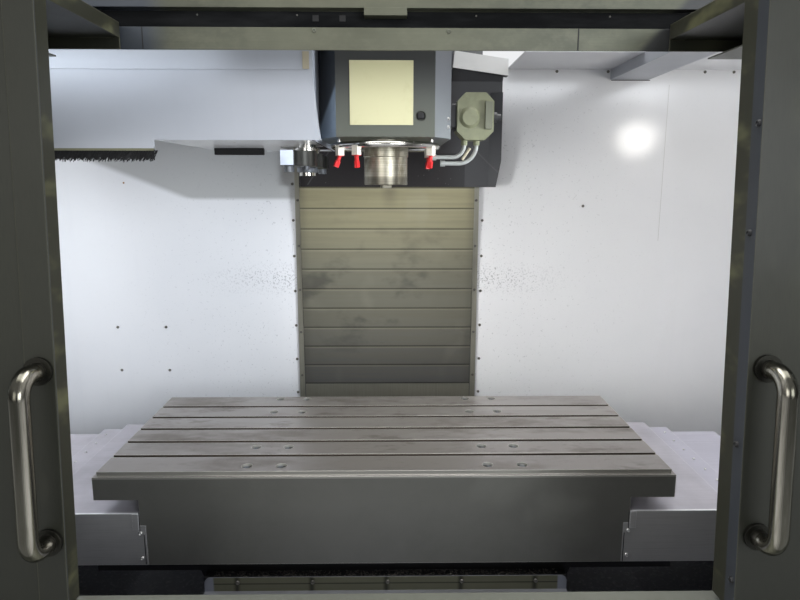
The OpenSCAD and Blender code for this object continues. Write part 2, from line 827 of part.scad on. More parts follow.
// The window's band of the leaf, between two heights, from one depth of the leaf to another
module window_band(grow, from, to) {
    low = window_z - grow;
    high = window_z + window_h + grow;
    polygon([
        [lean_y(-door_front + from, low), low], [lean_y(-door_front + to, low), low],
        [lean_y(-door_front + to, high), high], [lean_y(-door_front + from, high), high]
    ]);
}
module door(inner) {
    difference() {
        union() {
            difference() {
                along_x(inner, inner + door_w) door_outline(0);
                along_x(inner + sheet_t, inner + door_w - sheet_t) door_outline(sheet_t);
            }
            along_x(inner + window_x - 30, inner + window_x + window_w + 30) window_band(30, 0, door_t);
        }
        along_x(inner + window_x, inner + window_x + window_w) window_band(0, -1, door_t + 1);
        along_x(inner + window_x - 12, inner + window_x + window_w + 12) window_band(12, 25, door_t + 1);
        for (x = [30, door_w - 90])
            block([inner + x, -door_front + 30, door_z - 1], [inner + x + 60, -door_back - 30, door_z + 4]);
    }
    along_x(inner, inner + door_w) sheet([
        [lean_y(-door_back, door_roof_z) + 0.01, door_roof_z], [-roof_strip_back, door_roof_z],
        [-roof_strip_back, door_roof_z - 27]
    ], -sheet_t);
    block([inner, lean_y(-door_back, door_roof_z), door_roof_z], [inner + 30, -roof_strip_back, door_top]);
    for (x = [70, door_w - 70]) {
        block([inner + x - 25, -roof_strip_back, door_roof_z - 10],
              [inner + x + 25, -hanger_back, header_z + 80]);
        rod_y(-roof_strip_back + 2, -header_y + 26, [inner + x, header_z + 47 + slip + roller_r], roller_r);
        rod_y(-(door_back + door_t / 2) - 14, -(door_back + door_t / 2) + 14,
              [inner + x, sill_z + 5 + slip + roller_r], roller_r);
    }
}
module door_right() {
    color(door_grey) place() door(door_right_x);
}
module door_left() {
    strike = [
        [lean_y(-door_front - 4, door_z), door_z], [lean_y(-door_front - 1, door_z), door_z],
        [lean_y(-door_front - 1, door_top), door_top], [lean_y(-door_front - 4, door_top), door_top]
    ];
    color(door_grey) place() mirror([1, 0, 0]) {
        door(door_left_x);
        along_x(door_left_x - 21, door_left_x + 30) polygon(strike);
        along_x(door_left_x, door_left_x + 30) polygon([strike[0], [strike[1][0] + 2, door_z],
            [strike[2][0] + 2, door_top], strike[3]]);
    }
}
module window(inner) {
    color([0.6, 0.65, 0.65, 0.4]) place()
        along_x(inner + window_x - 11, inner + window_x + window_w + 11) window_band(11, 25, 33);
}
module window_right() {
    window(door_right_x);
}
module window_left() {
    mirror([1, 0, 0]) window(door_left_x);
}

// Bent tube handle with two feet, square to the leaning door
module handle(x, proud) {
    r = handle_d / 2;
    bend = 34;
    out = handle_gap + r - bend;
    color(chrome) place() translate([x, lean_y(-door_front - proud, handle_z), handle_z]) rotate([-lean, 0, 0]) {
        for (s = [-1, 1])
            translate([0, 0, s * handle_l / 2]) {
                rotate([90, 0, 0]) cylinder(r = r, h = out);
                rotate([90, 0, 0]) cylinder(r = r + 8, h = 7);
                translate([0, -out, -s * bend]) rotate([0, 90, 0]) rotate(s > 0 ? 180 : -90)
                    rotate_extrude(angle = 90) translate([bend, 0]) circle(r);
            }
        translate([0, -out - bend, -handle_l / 2 + bend]) cylinder(r = r, h = handle_l - 2 * bend);
    }
}
module handle_right() {
    handle(door_right_x + handle_inset, 0);
}
module handle_left() {
    handle(-door_left_x - 6, 4);
}

// Saddle: bed of the X rails, wings, trucks on the Y rails, nut, and the arms that hold the covers
module saddle() {
    end = body_half + cover_reach[4];
    side = table_w / 2 - 4 * cover_side_step - cover_t;
    back = cover_back - 4 * cover_side_step - cover_t;
    roof = table_top - cover_drop - 4 * cover_step - cover_t;
    color(cast_grey) place() {
        difference() {
            union() {
                along_y(-saddle_depth, saddle_depth) polygon([
                    [-saddle_half, wing_z], [-saddle_core - 30, wing_z], [-saddle_core, saddle_bottom],
                    [saddle_core, saddle_bottom], [saddle_core + 30, wing_z], [saddle_half, wing_z],
                    [saddle_half, saddle_top], [-saddle_half, saddle_top]
                ]);
                block([-y_cover_half, -y_cover_front + 2, y_cover_z], [y_cover_half, -saddle_depth, y_cover_z + 41]);
                for (x = [-y_rail_x, y_rail_x], y = [-y_truck_y, y_truck_y])
                    translate([x, 0, base_top]) along_y(y - truck_l / 2, y + truck_l / 2) truck_outline();
                block([-nut_half, -nut_half, y_screw_z - 50], [nut_half, nut_half, saddle_bottom + 1]);
            }
            block([-saddle_half - 1, -channel_half, channel_z], [saddle_half + 1, channel_half, saddle_top + 1]);
            rod_y(-nut_half - 1, nut_half + 1, [0, y_screw_z], screw_r + slip);
        }
        for (s = [-1, 1])
            difference() {
                block([s > 0 ? x_screw_half + slip : -x_screw_half - 40, -channel_half, channel_z],
                      [s > 0 ? x_screw_half + 50 : -x_screw_half - slip, channel_half, x_screw_z + 45]);
                rod_x(-x_screw_half - 60, x_screw_half + 60, [0, x_screw_z], screw_r - 5 + fit);
            }
        translate([x_screw_half + 50, 0, x_screw_z]) rotate([0, 90, 0]) servo(90);
        for (y = [-x_rail_y, x_rail_y])
            along_x(-saddle_half, saddle_half) translate([y, saddle_top]) rail_outline();
        both_sides() {
            for (y = [-arm_y, arm_y])
                block([saddle_half, y - arm_half, skirt_z + 9], [end, y + arm_half, skirt_z + 69]);
            block([end - 10, -side, skirt_z + 9], [end, back, roof]);
        }
    }
}

// X cover: a U of sheet steel open below, with a wiping lip at its outer end
module x_cover(k) {
    outer = body_half + cover_reach[k];
    inner = outer - cover_len[k];
    top = table_top - cover_drop - k * cover_step;
    front = -table_w / 2 + k * cover_side_step;
    back = cover_back - k * cover_side_step;
    difference() {
        block([inner, front, skirt_z], [outer, back, top]);
        block([inner - 1, front + cover_t, skirt_z - 1], [outer + 1, back - cover_t, top - cover_t]);
    }
    if (k < 4)
        difference() {
            block([outer - cover_lip, front, skirt_z], [outer, back, top]);
            block([outer - cover_lip - 1, front + cover_side_step - lip_gap, skirt_z - 1],
                  [outer + 1, back - cover_side_step + lip_gap, top - cover_step + lip_gap]);
        }
}
module x_covers(k) {
    color(steel) place() both_sides() x_cover(k);
}
module x_covers_1() {
    color(steel) place() both_sides() {
        x_cover(0);
        block([body_half - step_in + 1, -table_w / 2, skirt_z],
              [body_half, -table_w / 2 + cover_t, step_z - 1]);
    }
}
module x_covers_2() {
    x_covers(1);
}
module x_covers_3() {
    x_covers(2);
}
module x_covers_4() {
    x_covers(3);
}
module x_covers_5() {
    x_covers(4);
}

// Y cover: a flat U of sheet steel that slides under the one behind it
module y_cover(k, a, b) {
    half = y_cover_half - (k - 1) * y_step;
    top = y_cover_z - (k - 1) * y_step;
    low = base_top + 10;
    difference() {
        block([-half, a, low], [half, b, top]);
        block([-half + cover_t, a - 1, low - 1], [half - cover_t, b + 1, top - cover_t]);
    }
    if (k < 3)
        difference() {
            block([-half, a, low], [half, a + cover_lip, top]);
            block([-half + y_step - lip_gap, a - 1, low - 1], [half - y_step + lip_gap, b + 1, top - y_step + lip_gap]);
        }
}
module y_cover_1() {
    r = 18;
    color(steel) place() {
        y_cover(1, -y_cover_front - y_cover_l, -y_cover_front);
        along_y(-y_cover_front, -y_cover_front + 2) hull() {
            translate([-y_cover_half, y_cover_z - 1]) square([2 * y_cover_half, 1]);
            for (s = [-1, 1])
                translate([s * (y_cover_half - r), y_cover_z + 41 - r]) circle(r);
        }
    }
}
module y_cover_2() {
    color(steel) place() y_cover(2, -y_follow - y_cover_l, -y_follow);
}

// T-slot table with its deep front and rear faces, trucks and the X nut
module table() {
    half_w = table_w / 2;
    color(steel) place() difference() {
        union() {
            block([-table_half, -half_w + ledge, table_top - ledge_drop - 1], [table_half, half_w - ledge, table_top]);
            block([-plate_half, -half_w, table_top - plate_t], [plate_half, half_w, table_top - ledge_drop]);
            for (y = [-half_w, half_w - wall_t]) {
                block([-body_half, y, step_z], [body_half, y + wall_t, table_top - plate_t]);
                block([-body_half + step_in, y, skirt_z], [body_half - step_in, y + wall_t, step_z]);
            }
            both_sides()
                block([body_half - 15, -half_w, table_top - cover_drop - cover_step],
                      [body_half, half_w, table_top - plate_t]);
            for (y = [-x_rail_y, x_rail_y])
                block([-body_half + 40, y - 50, saddle_top + truck_h], [body_half - 40, y + 50, table_top - plate_t]);
            for (x = [-table_truck_x, table_truck_x], y = [-x_rail_y, x_rail_y])
                translate([0, y, saddle_top]) along_x(x - truck_l / 2, x + truck_l / 2) truck_outline();
            block([-nut_half, -50, x_screw_z - 35], [nut_half, 50, table_top - plate_t]);
        }
        rod_x(-nut_half - 1, nut_half + 1, [0, x_screw_z], screw_r + slip);
        for (i = [0:slot_count - 1])
            translate([0, (i - (slot_count - 1) / 2) * slot_pitch, 0]) {
                block([-plate_half - 1, -slot_w / 2, table_top - slot_d],
                      [plate_half + 1, slot_w / 2, table_top + 1]);
                block([-plate_half - 1, -slot_t_w / 2, table_top - slot_d],
                      [plate_half + 1, slot_t_w / 2, table_top - slot_d + slot_t_h]);
            }
        for (x = plug_xs, y = plug_ys)
            rod_z(table_top - plug_depth, table_top + 1, [x, y], plug_d / 2);
    }
}

// Plugs in the table's fixing holes
module table_plugs() {
    color(chrome) place()
        for (x = plug_xs, y = plug_ys)
            intersection() {
                rod_z(table_top - plug_depth, table_top - plug_sink, [x, y], plug_d / 2 - fit);
                translate([x, y, table_top - plug_sink - plug_d]) sphere(plug_d);
            }
}

// Head: cover with chamfered front corners, motor on top, carriage and nut on the Z rails
module head() {
    half = head_w / 2;
    face = head_face_w / 2;
    top = head_z + head_h;
    back = leaf_front - 7;
    color(dark) place() difference() {
        union() {
            along_z(head_z, top) polygon([
                [-face, -head_front], [face, -head_front], [half, -head_front + head_chamfer],
                [half, back], [-half, back], [-half, -head_front + head_chamfer]
            ]);
            rod_z(top, top + 30, [0, 0], 130);
            along_z(top + 30, top + 250) difference() {
                square(230, center = true);
                for (a = [0:90:270])
                    rotate(a) for (y = [-90:20:90])
                        translate([109, y - 4]) square([8, 8]);
            }
            rod_z(top + 250, top + 280, [0, 0], 100);
            block([-300, back + sheet_t, head_z + 40], [300, carriage_back - 15, top - 40]);
            block([-half, back - 1, wall_top + 10], [half, back + sheet_t + 1, top - 40]);
            for (x = [-z_rail_x, z_rail_x], z = [head_z + 130, top - 130])
                translate([x, column_y, z - truck_l / 2]) linear_extrude(truck_l) rotate(180) truck_outline();
            block([-60, carriage_back - 15, head_z + 260], [60, column_y - 5, head_z + 380]);
        }
        block([-half + 30, -head_front + 110, head_z + 100], [half - 30, back + 1, top - 100]);
        rod_z(head_z + 259, head_z + 381, [0, z_screw_y], z_screw_r + slip);
        rod_z(head_z - 1, head_z + 60, [0, 0], nose_d / 2 + fit);
        rod_y(-head_front - 1, -head_front + 6, [93, nose_z + 179], 13);
    }
}

// Dark sheet on the carriage that hangs in front of the Z cover, with the white duct over its right part
module back_apron() {
    y = leaf_front - 4;
    fold_z = 1963;
    color(dark) place() {
        difference() {
            along_z(apron_z, fold_z) sheet([[-337, y - 25], [-337, y], [392, y], [437, y - 20]], -sheet_t);
            along_y(y - 40, y + 1) polygon([[419, apron_z - 1], [437, apron_z + 103], [450, apron_z + 103],
                                            [450, apron_z - 1]]);
        }
        difference() {
            along_x(245, 437) sheet([[y - sheet_t, fold_z], [y - sheet_t, 2004], [y - 45, 2052]], -sheet_t);
            along_y(y - 60, y + 1) polygon([[240, duct_z(240)], [440, duct_z(440)], [440, 2080], [240, 2080]]);
        }
        block([-337, y - sheet_t, fold_z], [245, y, wall_top - 3]);
    }
    color(white) place() along_y(y - 48, y - 6) polygon([
        [duct_x[0], duct_z(duct_x[0])], [duct_x[1], duct_z(duct_x[1])],
        [duct_x[1], duct_z(duct_x[1]) + 60], [duct_x[0] + 6, duct_z(duct_x[0]) + 60]
    ]);
}

// Coolant ring under the head with its hangers
module coolant_ring() {
    z = head_z - ring_d;
    color(chrome) place() {
        translate([0, 0, z]) rotate_extrude() translate([ring_r, 0]) circle(ring_d / 2);
        for (a = [90, 210, 330])
            rotate(a) rod_z(z, head_z, [ring_r, 0], 5);
    }
}

// Small valves on the ring, each with a tap handle hanging from it
module coolant_valves() {
    z = head_z - 1.5 * ring_d;
    color(white) place() difference() {
        for (a = [238, 211, 328, 30])
            rotate(a) translate([ring_r, 0, z]) {
                translate([-9, -9, -20]) cube([18, 18, 20 + ring_d / 2 - 2]);
                translate([0, 0, -18]) rotate([0, a == 211 ? -22 : 6, 0]) {
                    translate([0, 0, -18]) cylinder(d = 11, h = 18);
                    translate([-6.5, -4, -34]) cube([13, 8, 18]);
                }
            }
        translate([0, 0, head_z - ring_d]) rotate_extrude() translate([ring_r, 0]) circle(ring_d / 2 + fit);
    }
}

// Junction box on the head's right side: eight-sided cover, boss, glands and conduit fitting
module junction_box() {
    x = head_w / 2 + 25;
    z = nose_z + 129;
    c = 24;
    color(beige) place() {
        along_y(15, 95) translate([x, z]) polygon([
            [c, 0], [box_w - c, 0], [box_w, c], [box_w, box_h - c], [box_w - c, box_h],
            [c, box_h], [0, box_h - c], [0, c]
        ]);
        translate([x + box_w / 2 - 16, 15, z + box_h / 2 - 4]) rotate([90, 0, 0])
            cylinder(r1 = 30, r2 = 22, h = 10);
        block([x + box_w - 26, 3, z + 30], [x + box_w - 6, 15, z + box_h - 26]);
        block([head_w / 2, 30, z + 36], [x, 80, z + box_h - 36]);
        for (i = [0:3])
            rod_x(x - 12, x, [48, z + 34 + i * 21], 7);
        rod_x(x + box_w, x + box_w + 14, [55, z + box_h / 2], 15);
        rod_x(x + box_w + 14, x + box_w + 26, [55, z + box_h / 2], 10);
        for (u = [26, 62])
            rod_z(z - 14, z + 1, [x + u, 55], 9);
    }
}

// Short hoses from the junction box to the coolant ring, with their end fittings
module hose_bend(x, z, r, hose_r) {
    translate([x - r, 55, z]) rotate([90, 0, 0]) rotate([0, 0, -90])
        rotate_extrude(angle = 90) translate([r, 0]) circle(hose_r);
}
module coolant_hoses() {
    x = head_w / 2 + 25;
    z = nose_z + 129 - 14;
    color([0.75, 0.77, 0.76]) place() difference() {
        union() {
            hose_bend(x + 26, z, 34, 6);
            rod_x(x - 56, x - 8, [55, z - 34], 6);
            rod_x(x - 74, x - 56, [55, z - 34], 9);
            hose_bend(x + 62, z, 52, 6);
            rod_x(x - 30, x + 10, [55, z - 52], 6);
            rod_x(x - 44, x - 30, [55, z - 52], 9);
        }
        translate([0, 0, head_z - ring_d]) rotate_extrude() translate([ring_r, 0]) circle(ring_d / 2 + fit);
    }
}

// Rotating spindle: nose with its 7 in 24 taper, drawbar bore and two drive keys
module spindle() {
    r = nose_d / 2;
    gauge_r = 34.925;
    taper_d = 101;
    color(chrome) place() {
        translate([0, 0, nose_z]) rotate_extrude() polygon([
            [gauge_r, 0], [r - 4, 0], [r - 2, 2], [r - 2, 78], [r, 80], [r, nose_l + 58],
            [0, nose_l + 58], [0, taper_d + 30], [12, taper_d + 30], [12, taper_d],
            [gauge_r - taper_d * 7 / 48, taper_d]
        ]);
        for (a = [-86, 94])
            rotate(a) block([gauge_r + 4, -12.7, nose_z - 8], [r - 6, 12.7, nose_z + 1]);
    }
}

base();
column();
levelling_feet();
guide_rails();
servo_motors();
chip_pan();
front_apron();
front_panels();
side_panels();
rear_walls();
header_beam();
roof_beam();
way_cover_frame();
tool_changer_cover();
brush_strip();
tool_changer_drive();
electrical_cabinet();
cabinet_door();
pendant_arm();
pendant_case();
emergency_stop();
door_left();
door_right();
window_left();
window_right();
handle_left();
handle_right();
saddle();
x_screw();
y_screw();
z_screw();
x_covers_5();
y_cover_1();
y_cover_2();
table();
table_plugs();
x_covers_1();
x_covers_2();
x_covers_3();
x_covers_4();
head();
back_apron();
coolant_ring();
coolant_valves();
junction_box();
coolant_hoses();
spindle();
carousel();
arm_shaft();
tool_arm();
z_leaf_1();
z_leaf_2();
z_leaf_3();
z_leaf_4();
z_leaf_5();
z_leaf_6();
z_leaf_7();
z_leaf_8();
z_leaf_9();
z_leaf_10();
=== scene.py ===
"""Finishes, small parts, studio and camera for the vertical machining centre."""

import math

import bmesh
import bpy
from mathutils import Matrix, Vector


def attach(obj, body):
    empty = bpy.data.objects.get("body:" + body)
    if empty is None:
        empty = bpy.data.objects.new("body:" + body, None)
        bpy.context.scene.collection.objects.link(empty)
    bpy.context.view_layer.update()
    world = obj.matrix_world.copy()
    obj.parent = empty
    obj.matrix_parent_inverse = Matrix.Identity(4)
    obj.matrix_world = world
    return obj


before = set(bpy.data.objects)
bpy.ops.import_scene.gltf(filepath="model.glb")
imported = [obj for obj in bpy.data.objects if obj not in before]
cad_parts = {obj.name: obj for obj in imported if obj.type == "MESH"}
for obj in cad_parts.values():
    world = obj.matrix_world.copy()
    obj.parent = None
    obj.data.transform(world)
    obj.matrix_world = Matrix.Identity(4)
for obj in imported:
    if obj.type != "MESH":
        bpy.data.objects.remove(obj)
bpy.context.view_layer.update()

# Pieces are placed in millimetres: x and y from the spindle axis, z from the floor.
SPINDLE_Y = -25.0
TABLE_TOP = 880.0
# The doors' front face at the height of the table's top, and how far it leans back per unit of height
DOOR_FACE = -872.0
LEAN = 0.0727


def mm(x, y, z):
    return Vector((x, y + SPINDLE_Y, z)) / 1000.0


def door_front(z):
    """Where the doors' front face lies at a height, in millimetres."""
    return DOOR_FACE + LEAN * (z - TABLE_TOP)


# -------- node graphs
class Value:
    """A number socket; Python's operators add its Math nodes."""

    def __init__(self, graph, socket):
        self.graph = graph
        self.socket = socket

    def math(self, operation, *others):
        feeds = {0: self}
        for i, other in enumerate(others):
            feeds[i + 1] = other
        node = self.graph.add("ShaderNodeMath", {"operation": operation}, feeds)
        return Value(self.graph, node.outputs[0])

    def __add__(self, other):
        return self.math("ADD", other)

    __radd__ = __add__

    def __mul__(self, other):
        return self.math("MULTIPLY", other)

    __rmul__ = __mul__

    def __sub__(self, other):
        return self.math("SUBTRACT", other)

    def __rsub__(self, other):
        return (self * -1.0) + other

    def __truediv__(self, other):
        return self.math("DIVIDE", other)

    def __lt__(self, other):
        return self.math("LESS_THAN", other)

    def __gt__(self, other):
        return self.math("GREATER_THAN", other)

    def __abs__(self):
        return self.math("ABSOLUTE")

    def fract(self):
        return self.math("FRACT")

    def capped(self):
        """No more than one."""
        return self.math("MINIMUM", 1.0)

    def fall(self, low, high):
        """Goes smoothly from one down to nothing between two levels."""
        return self.step(low, high, 1.0, 0.0)

    def step(self, low, high, to_low=0.0, to_high=1.0):
        """Goes smoothly from one value to another between two levels."""
        node = self.graph.add("ShaderNodeMapRange", {"interpolation_type": "SMOOTHSTEP"}, {
            "Value": self, "From Min": low, "From Max": high, "To Min": to_low, "To Max": to_high,
        })
        return Value(self.graph, node.outputs[0])


def linear(red, green, blue):
    """A colour written as seen on screen, from 0 to 255, as a socket wants it."""
    def channel(c):
        c /= 255.0
        return c / 12.92 if c <= 0.04045 else ((c + 0.055) / 1.055) ** 2.4
    return (channel(red), channel(green), channel(blue), 1.0)


class Graph:
    """Adds nodes to a tree: the settings first, then values or links."""

    def __init__(self, tree):
        self.tree = tree

    def add(self, kind, settings=None, feeds=None):
        node = self.tree.nodes.new(kind)
        for name, setting in (settings or {}).items():
            setattr(node, name, setting)
        for key, value in (feeds or {}).items():
            self.feed(node.inputs[key], value)
        return node

    def feed(self, socket, value):
        """Links a value, a socket or a node's first output, or sets a number, vector or colour."""
        if isinstance(value, Value):
            value = value.socket
        elif isinstance(value, bpy.types.Node):
            value = value.outputs[0]
        if isinstance(value, bpy.types.NodeSocket):
            self.tree.links.new(value, socket)
        elif socket.type == "RGBA":
            socket.default_value = linear(*value)
        else:
            socket.default_value = value


class Look(Graph):
    """One material: a Principled shader fed from Object coordinates."""

    def __init__(self, name):
        self.material = bpy.data.materials.new(name)
        self.material.use_nodes = True
        super().__init__(self.material.node_tree)
        self.tree.nodes.clear()
        self.shader = self.add("ShaderNodeBsdfPrincipled")
        self.add("ShaderNodeOutputMaterial", None, {"Surface": self.shader.outputs[0]})
        self.place = self.add("ShaderNodeTexCoord").outputs["Object"]

    def axes(self):
        node = self.add("ShaderNodeSeparateXYZ", None, {0: self.place})
        return [Value(self, socket) for socket in node.outputs]

    def facing(self):
        """The three parts of the way that the face points."""
        node = self.add("ShaderNodeNewGeometry")
        parts = self.add("ShaderNodeSeparateXYZ", None, {0: node.outputs["True Normal"]})
        return [Value(self, socket) for socket in parts.outputs]

    def mapped(self, stretch, shift=(0, 0, 0)):
        feeds = {"Vector": self.place, "Scale": stretch, "Location": shift}
        return self.add("ShaderNodeMapping", None, feeds)

    def noise(self, scale, stretch=(1, 1, 1), detail=3.0, rough=0.5, shift=(0, 0, 0)):
        node = self.add("ShaderNodeTexNoise", None, {
            "Vector": self.mapped(stretch, shift), "Scale": scale, "Detail": detail, "Roughness": rough,
        })
        return Value(self, node.outputs[0])

    def streaks(self, grain="X"):
        """Fine brushing along one axis."""
        stretch = {"X": (2, 160, 160), "Y": (160, 2, 160), "Z": (160, 160, 2)}[grain]
        return self.noise(3.0, stretch, 4.0, 0.7)

    def cells(self, scale):
        node = self.add("ShaderNodeTexVoronoi", None, {"Vector": self.mapped((1, 1, 1)), "Scale": scale})
        return Value(self, node.outputs["Distance"])

    def mix(self, amount, first, second):
        """One colour over another; sockets 6 and 7 are the node's pair of colours."""
        node = self.add("ShaderNodeMix", {"data_type": "RGBA"}, {0: amount, 6: first, 7: second})
        return node.outputs[2]

    def bump(self, height, strength, distance, edge=None):
        """A relief, on edges that look rounded where a radius is given."""
        feeds = {"Height": height, "Strength": strength, "Distance": distance}
        if edge is not None:
            feeds["Normal"] = self.soft_edges(edge)
        return self.add("ShaderNodeBump", None, feeds)

    def soft_edges(self, radius):
        return self.add("ShaderNodeBevel", {"samples": 4}, {"Radius": radius})

    def highlit_edges(self, radius):
        """Near one along sharp edges, zero on the faces: the mask for painted edge highlights."""
        flat = self.add("ShaderNodeNewGeometry").outputs["Normal"]
        feeds = {0: self.soft_edges(radius), 1: flat}
        node = self.add("ShaderNodeVectorMath", {"operation": "DOT_PRODUCT"}, feeds)
        return (1.0 - Value(self, node.outputs["Value"])).step(0.01, 0.12)

    def finish(self, **feeds):
        for name, value in feeds.items():
            self.feed(self.shader.inputs[name.replace("_", " ")], value)
        return self.material


# -------- finishes
# Places in a finish are in metres, as Object coordinates are; levels and amounts are shares of one.
def behind_door(y, z):
    """How far a point of a finish lies behind the doors' front face."""
    return y - (DOOR_FACE + SPINDLE_Y) / 1000.0 - (z - TABLE_TOP / 1000.0) * LEAN


def sheet_steel(name, bright, dull, grain, rough, smudge, metal=0.75):
    """Brushed sheet: long grain along one axis, hand and coolant smudges."""
    look = Look(name)
    streak = look.streaks(grain)
    cloud = look.noise(2.3, (1, 1, 1.6), 4.0, 0.6)
    drip = look.noise(6.0, (5, 5, 0.7), 3.0, 0.6).step(0.55, 0.8)
    stain = cloud.step(0.38, 0.72) * smudge
    colour = look.mix(stain, bright, dull)
    colour = look.mix(streak.step(0.35, 0.75) * 0.3, colour, dull)
    colour = look.mix(drip * 0.25, colour, bright)
    return look.finish(
        Base_Color=colour,
        Metallic=metal,
        Roughness=rough + stain * 0.22 + (streak - 0.5) * 0.12,
        Normal=look.bump(streak, 0.08, 0.0006, 0.0012),
    )


def table_steel():
    """Ground table: cross-ground top with coolant stains, rust-brown slots, darker smooth sides, a painted
    highlight along the top of the sides and painted highlights along the edges.
    """
    look = Look("table_steel")
    _, y, z = look.axes()
    top = (look.facing()[2] > 0.7) * (z > 0.82)
    ground = look.noise(4.0, (140, 3, 3), 4.0, 0.7)
    along = look.noise(4.0, (3, 140, 140), 4.0, 0.7)
    cloud = look.noise(3.1, (1, 2.2, 1), 5.0, 0.62)
    ring = look.noise(9.0, (1, 1.6, 1), 3.0, 0.7)
    stain = cloud.step(0.46, 0.66)
    patch = look.noise(2.1, (1.2, 4, 1), 2.0, 0.5, (3, 1, 0)).step(0.54, 0.58)
    smut = look.noise(5.5, (1, 2.4, 1), 4.0, 0.7, (7, 2, 0)).step(0.56, 0.68)
    plain = look.mix(stain * 0.6, (158, 153, 149), (108, 101, 94))
    plain = look.mix(ring.step(0.6, 0.72) * 0.4, plain, (104, 94, 84))
    plain = look.mix(patch * 0.25, plain, (176, 173, 172))
    plain = look.mix(smut * 0.5, plain, (82, 73, 62))
    plain = look.mix(ground.step(0.4, 0.8) * 0.35, plain, (170, 166, 160))
    plain = look.mix(y.step(-0.3, 0.1, 0.4, 0.0), plain, (116, 112, 110))
    side = look.mix(cloud.step(0.3, 0.8) * 0.6, (138, 138, 132), (114, 115, 108))
    side = look.mix(along.step(0.45, 0.8) * 0.3, side, (138, 138, 134))
    # Painted highlight along the top of the sides
    side_top_highlight = z > 0.862
    side = look.mix(side_top_highlight * 0.6, side, (200, 198, 190))
    colour = look.mix(top, side, plain)
    # Distance from the nearest T-slot's middle, as a share of the slots' pitch
    slot_pitch, slots_end, below_top = 0.1, 0.24, 0.8797
    from_spindle = y - SPINDLE_Y / 1000.0
    off_slot = abs((from_spindle / slot_pitch + 0.5).fract() - 0.5)
    slotted = abs(from_spindle) < slots_end
    inside = (off_slot < 0.0835) * (z < below_top) * slotted
    grime = look.noise(60.0, (0.3, 1, 1), 3.0, 0.6)
    colour = look.mix(inside * 0.9, colour, look.mix(grime, (44, 34, 28), (80, 64, 50)))
    lip = (abs(off_slot - 0.092) < 0.009) * top * slotted
    colour = look.mix(lip * grime.step(0.42, 0.62) * 0.7, colour, (96, 70, 52))
    # Painted highlights: bright lines along the slots' edges and along sharp edges
    edge = (abs(off_slot - 0.0865) < 0.0045) * top * slotted
    colour = look.mix((edge * 0.7 + look.highlit_edges(0.003) * 0.8).capped(), colour, (228, 224, 216))
    speck = look.cells(130.0) < 0.13
    colour = look.mix(speck * top * ring.step(0.5, 0.7), colour, (40, 36, 34))
    return look.finish(
        Base_Color=colour,
        Metallic=0.7,
        Roughness=0.36 + stain * 0.16 + inside * 0.3 + (ground - 0.5) * 0.1,
        Normal=look.bump(ground * top + along * 0.5, 0.1, 0.0005, 0.0015),
    )


def leaf_steel():
    """Z cover leaves: brushed across, with painted shade darkening them towards the bottom, wipe marks of oil
    lower down, a faint painted sheen, painted shadow and highlight lines at the laps, and painted shade on
    their upward faces.
    """
    look = Look("leaf_steel")
    x, _, z = look.axes()
    streak = look.streaks()
    brush = look.noise(1.0, (1.5, 1, 46), 5.0, 0.7)
    wipe = look.noise(3.2, (1.3, 1, 2.1), 4.0, 0.6)
    # Painted shade: darker towards the bottom
    shade = look.mix(z.step(0.74, 1.2), (104, 104, 104), (128, 127, 114))
    shade = look.mix(z.step(1.2, 1.62), shade, (166, 160, 128))
    colour = look.mix(brush.step(0.35, 0.7) * 0.3, shade, (120, 116, 98))
    smear = wipe.step(0.52, 0.7) * z.step(0.85, 1.1) * z.step(1.2, 1.5, 1.0, 0.25)
    colour = look.mix(smear * 0.6, colour, (74, 73, 70))
    # Painted sheen: faint pale patches
    shine = look.noise(4.0, (1.6, 1, 1.1), 2.0, 0.5, (3.1, 0, 1.4)).step(0.58, 0.74)
    colour = look.mix(shine * 0.12, colour, (186, 184, 166))
    dark_stripe = abs(x - 0.01).fall(0.0, 0.045) * z.step(1.5, 1.6)
    colour = look.mix(dark_stripe * 0.4, colour, (96, 92, 82))
    first_lip, leaf_pitch = 0.727, 0.08
    band = ((z - first_lip) / leaf_pitch).fract()
    # Painted shadow: a dark line just above each lip; painted highlight: a pale line just below each lip
    colour = look.mix(band.fall(0.01, 0.1) * 0.75, colour, (36, 35, 29))
    colour = look.mix(band.step(0.86, 0.97) * 0.22, colour, (196, 192, 166))
    outer_edge = abs(x).step(0.3, 0.34)
    colour = look.mix(outer_edge * 0.3, colour, (92, 90, 82))
    # Painted shade on upward faces, in the gaps between the leaves
    upper_face_shade = look.facing()[2] > 0.3
    colour = look.mix(upper_face_shade * 0.85, colour, (44, 42, 35))
    return look.finish(
        Base_Color=colour,
        Metallic=0.6,
        Roughness=0.4 + smear * 0.15 + (streak - 0.5) * 0.12,
        Normal=look.bump(streak + brush * 0.6, 0.12, 0.0006),
    )


def header_steel():
    """Header: olive brushed sheet, paler in the middle, bluish at the left end, and a dark grey painted
    shadow over the right end.
    """
    look = Look("header_steel")
    x, _, z = look.axes()
    streak = look.streaks()
    mottle = look.noise(26.0, (0.7, 1, 1), 4.0, 0.7)
    cloud = look.noise(2.6, (1, 1, 2), 3.0, 0.6)
    colour = look.mix(cloud.step(0.35, 0.7), (70, 72, 61), (92, 94, 80))
    colour = look.mix(mottle.step(0.4, 0.7) * 0.35, colour, (108, 108, 92))
    colour = look.mix(streak.step(0.35, 0.75) * 0.2, colour, (58, 60, 50))
    middle = abs(x).fall(0.1, 0.45)
    colour = look.mix(middle * 0.25, colour, (126, 126, 106))
    left_end = (x * -1.0).step(0.46, 0.53)
    colour = look.mix(left_end * 0.85, colour, (62, 68, 78))
    # Painted shadow over the right end, its edge slanting with height
    lower_edge = 1.918
    right_end_shadow = (x - (z - lower_edge) * 0.9).step(0.555, 0.58)
    colour = look.mix(right_end_shadow * 0.88, colour, (52, 53, 56))
    return look.finish(
        Base_Color=colour,
        Metallic=0.45,
        Roughness=0.42 + (streak - 0.5) * 0.12,
        Normal=look.bump(streak + mottle * 0.3, 0.08, 0.0006, 0.0015),
    )


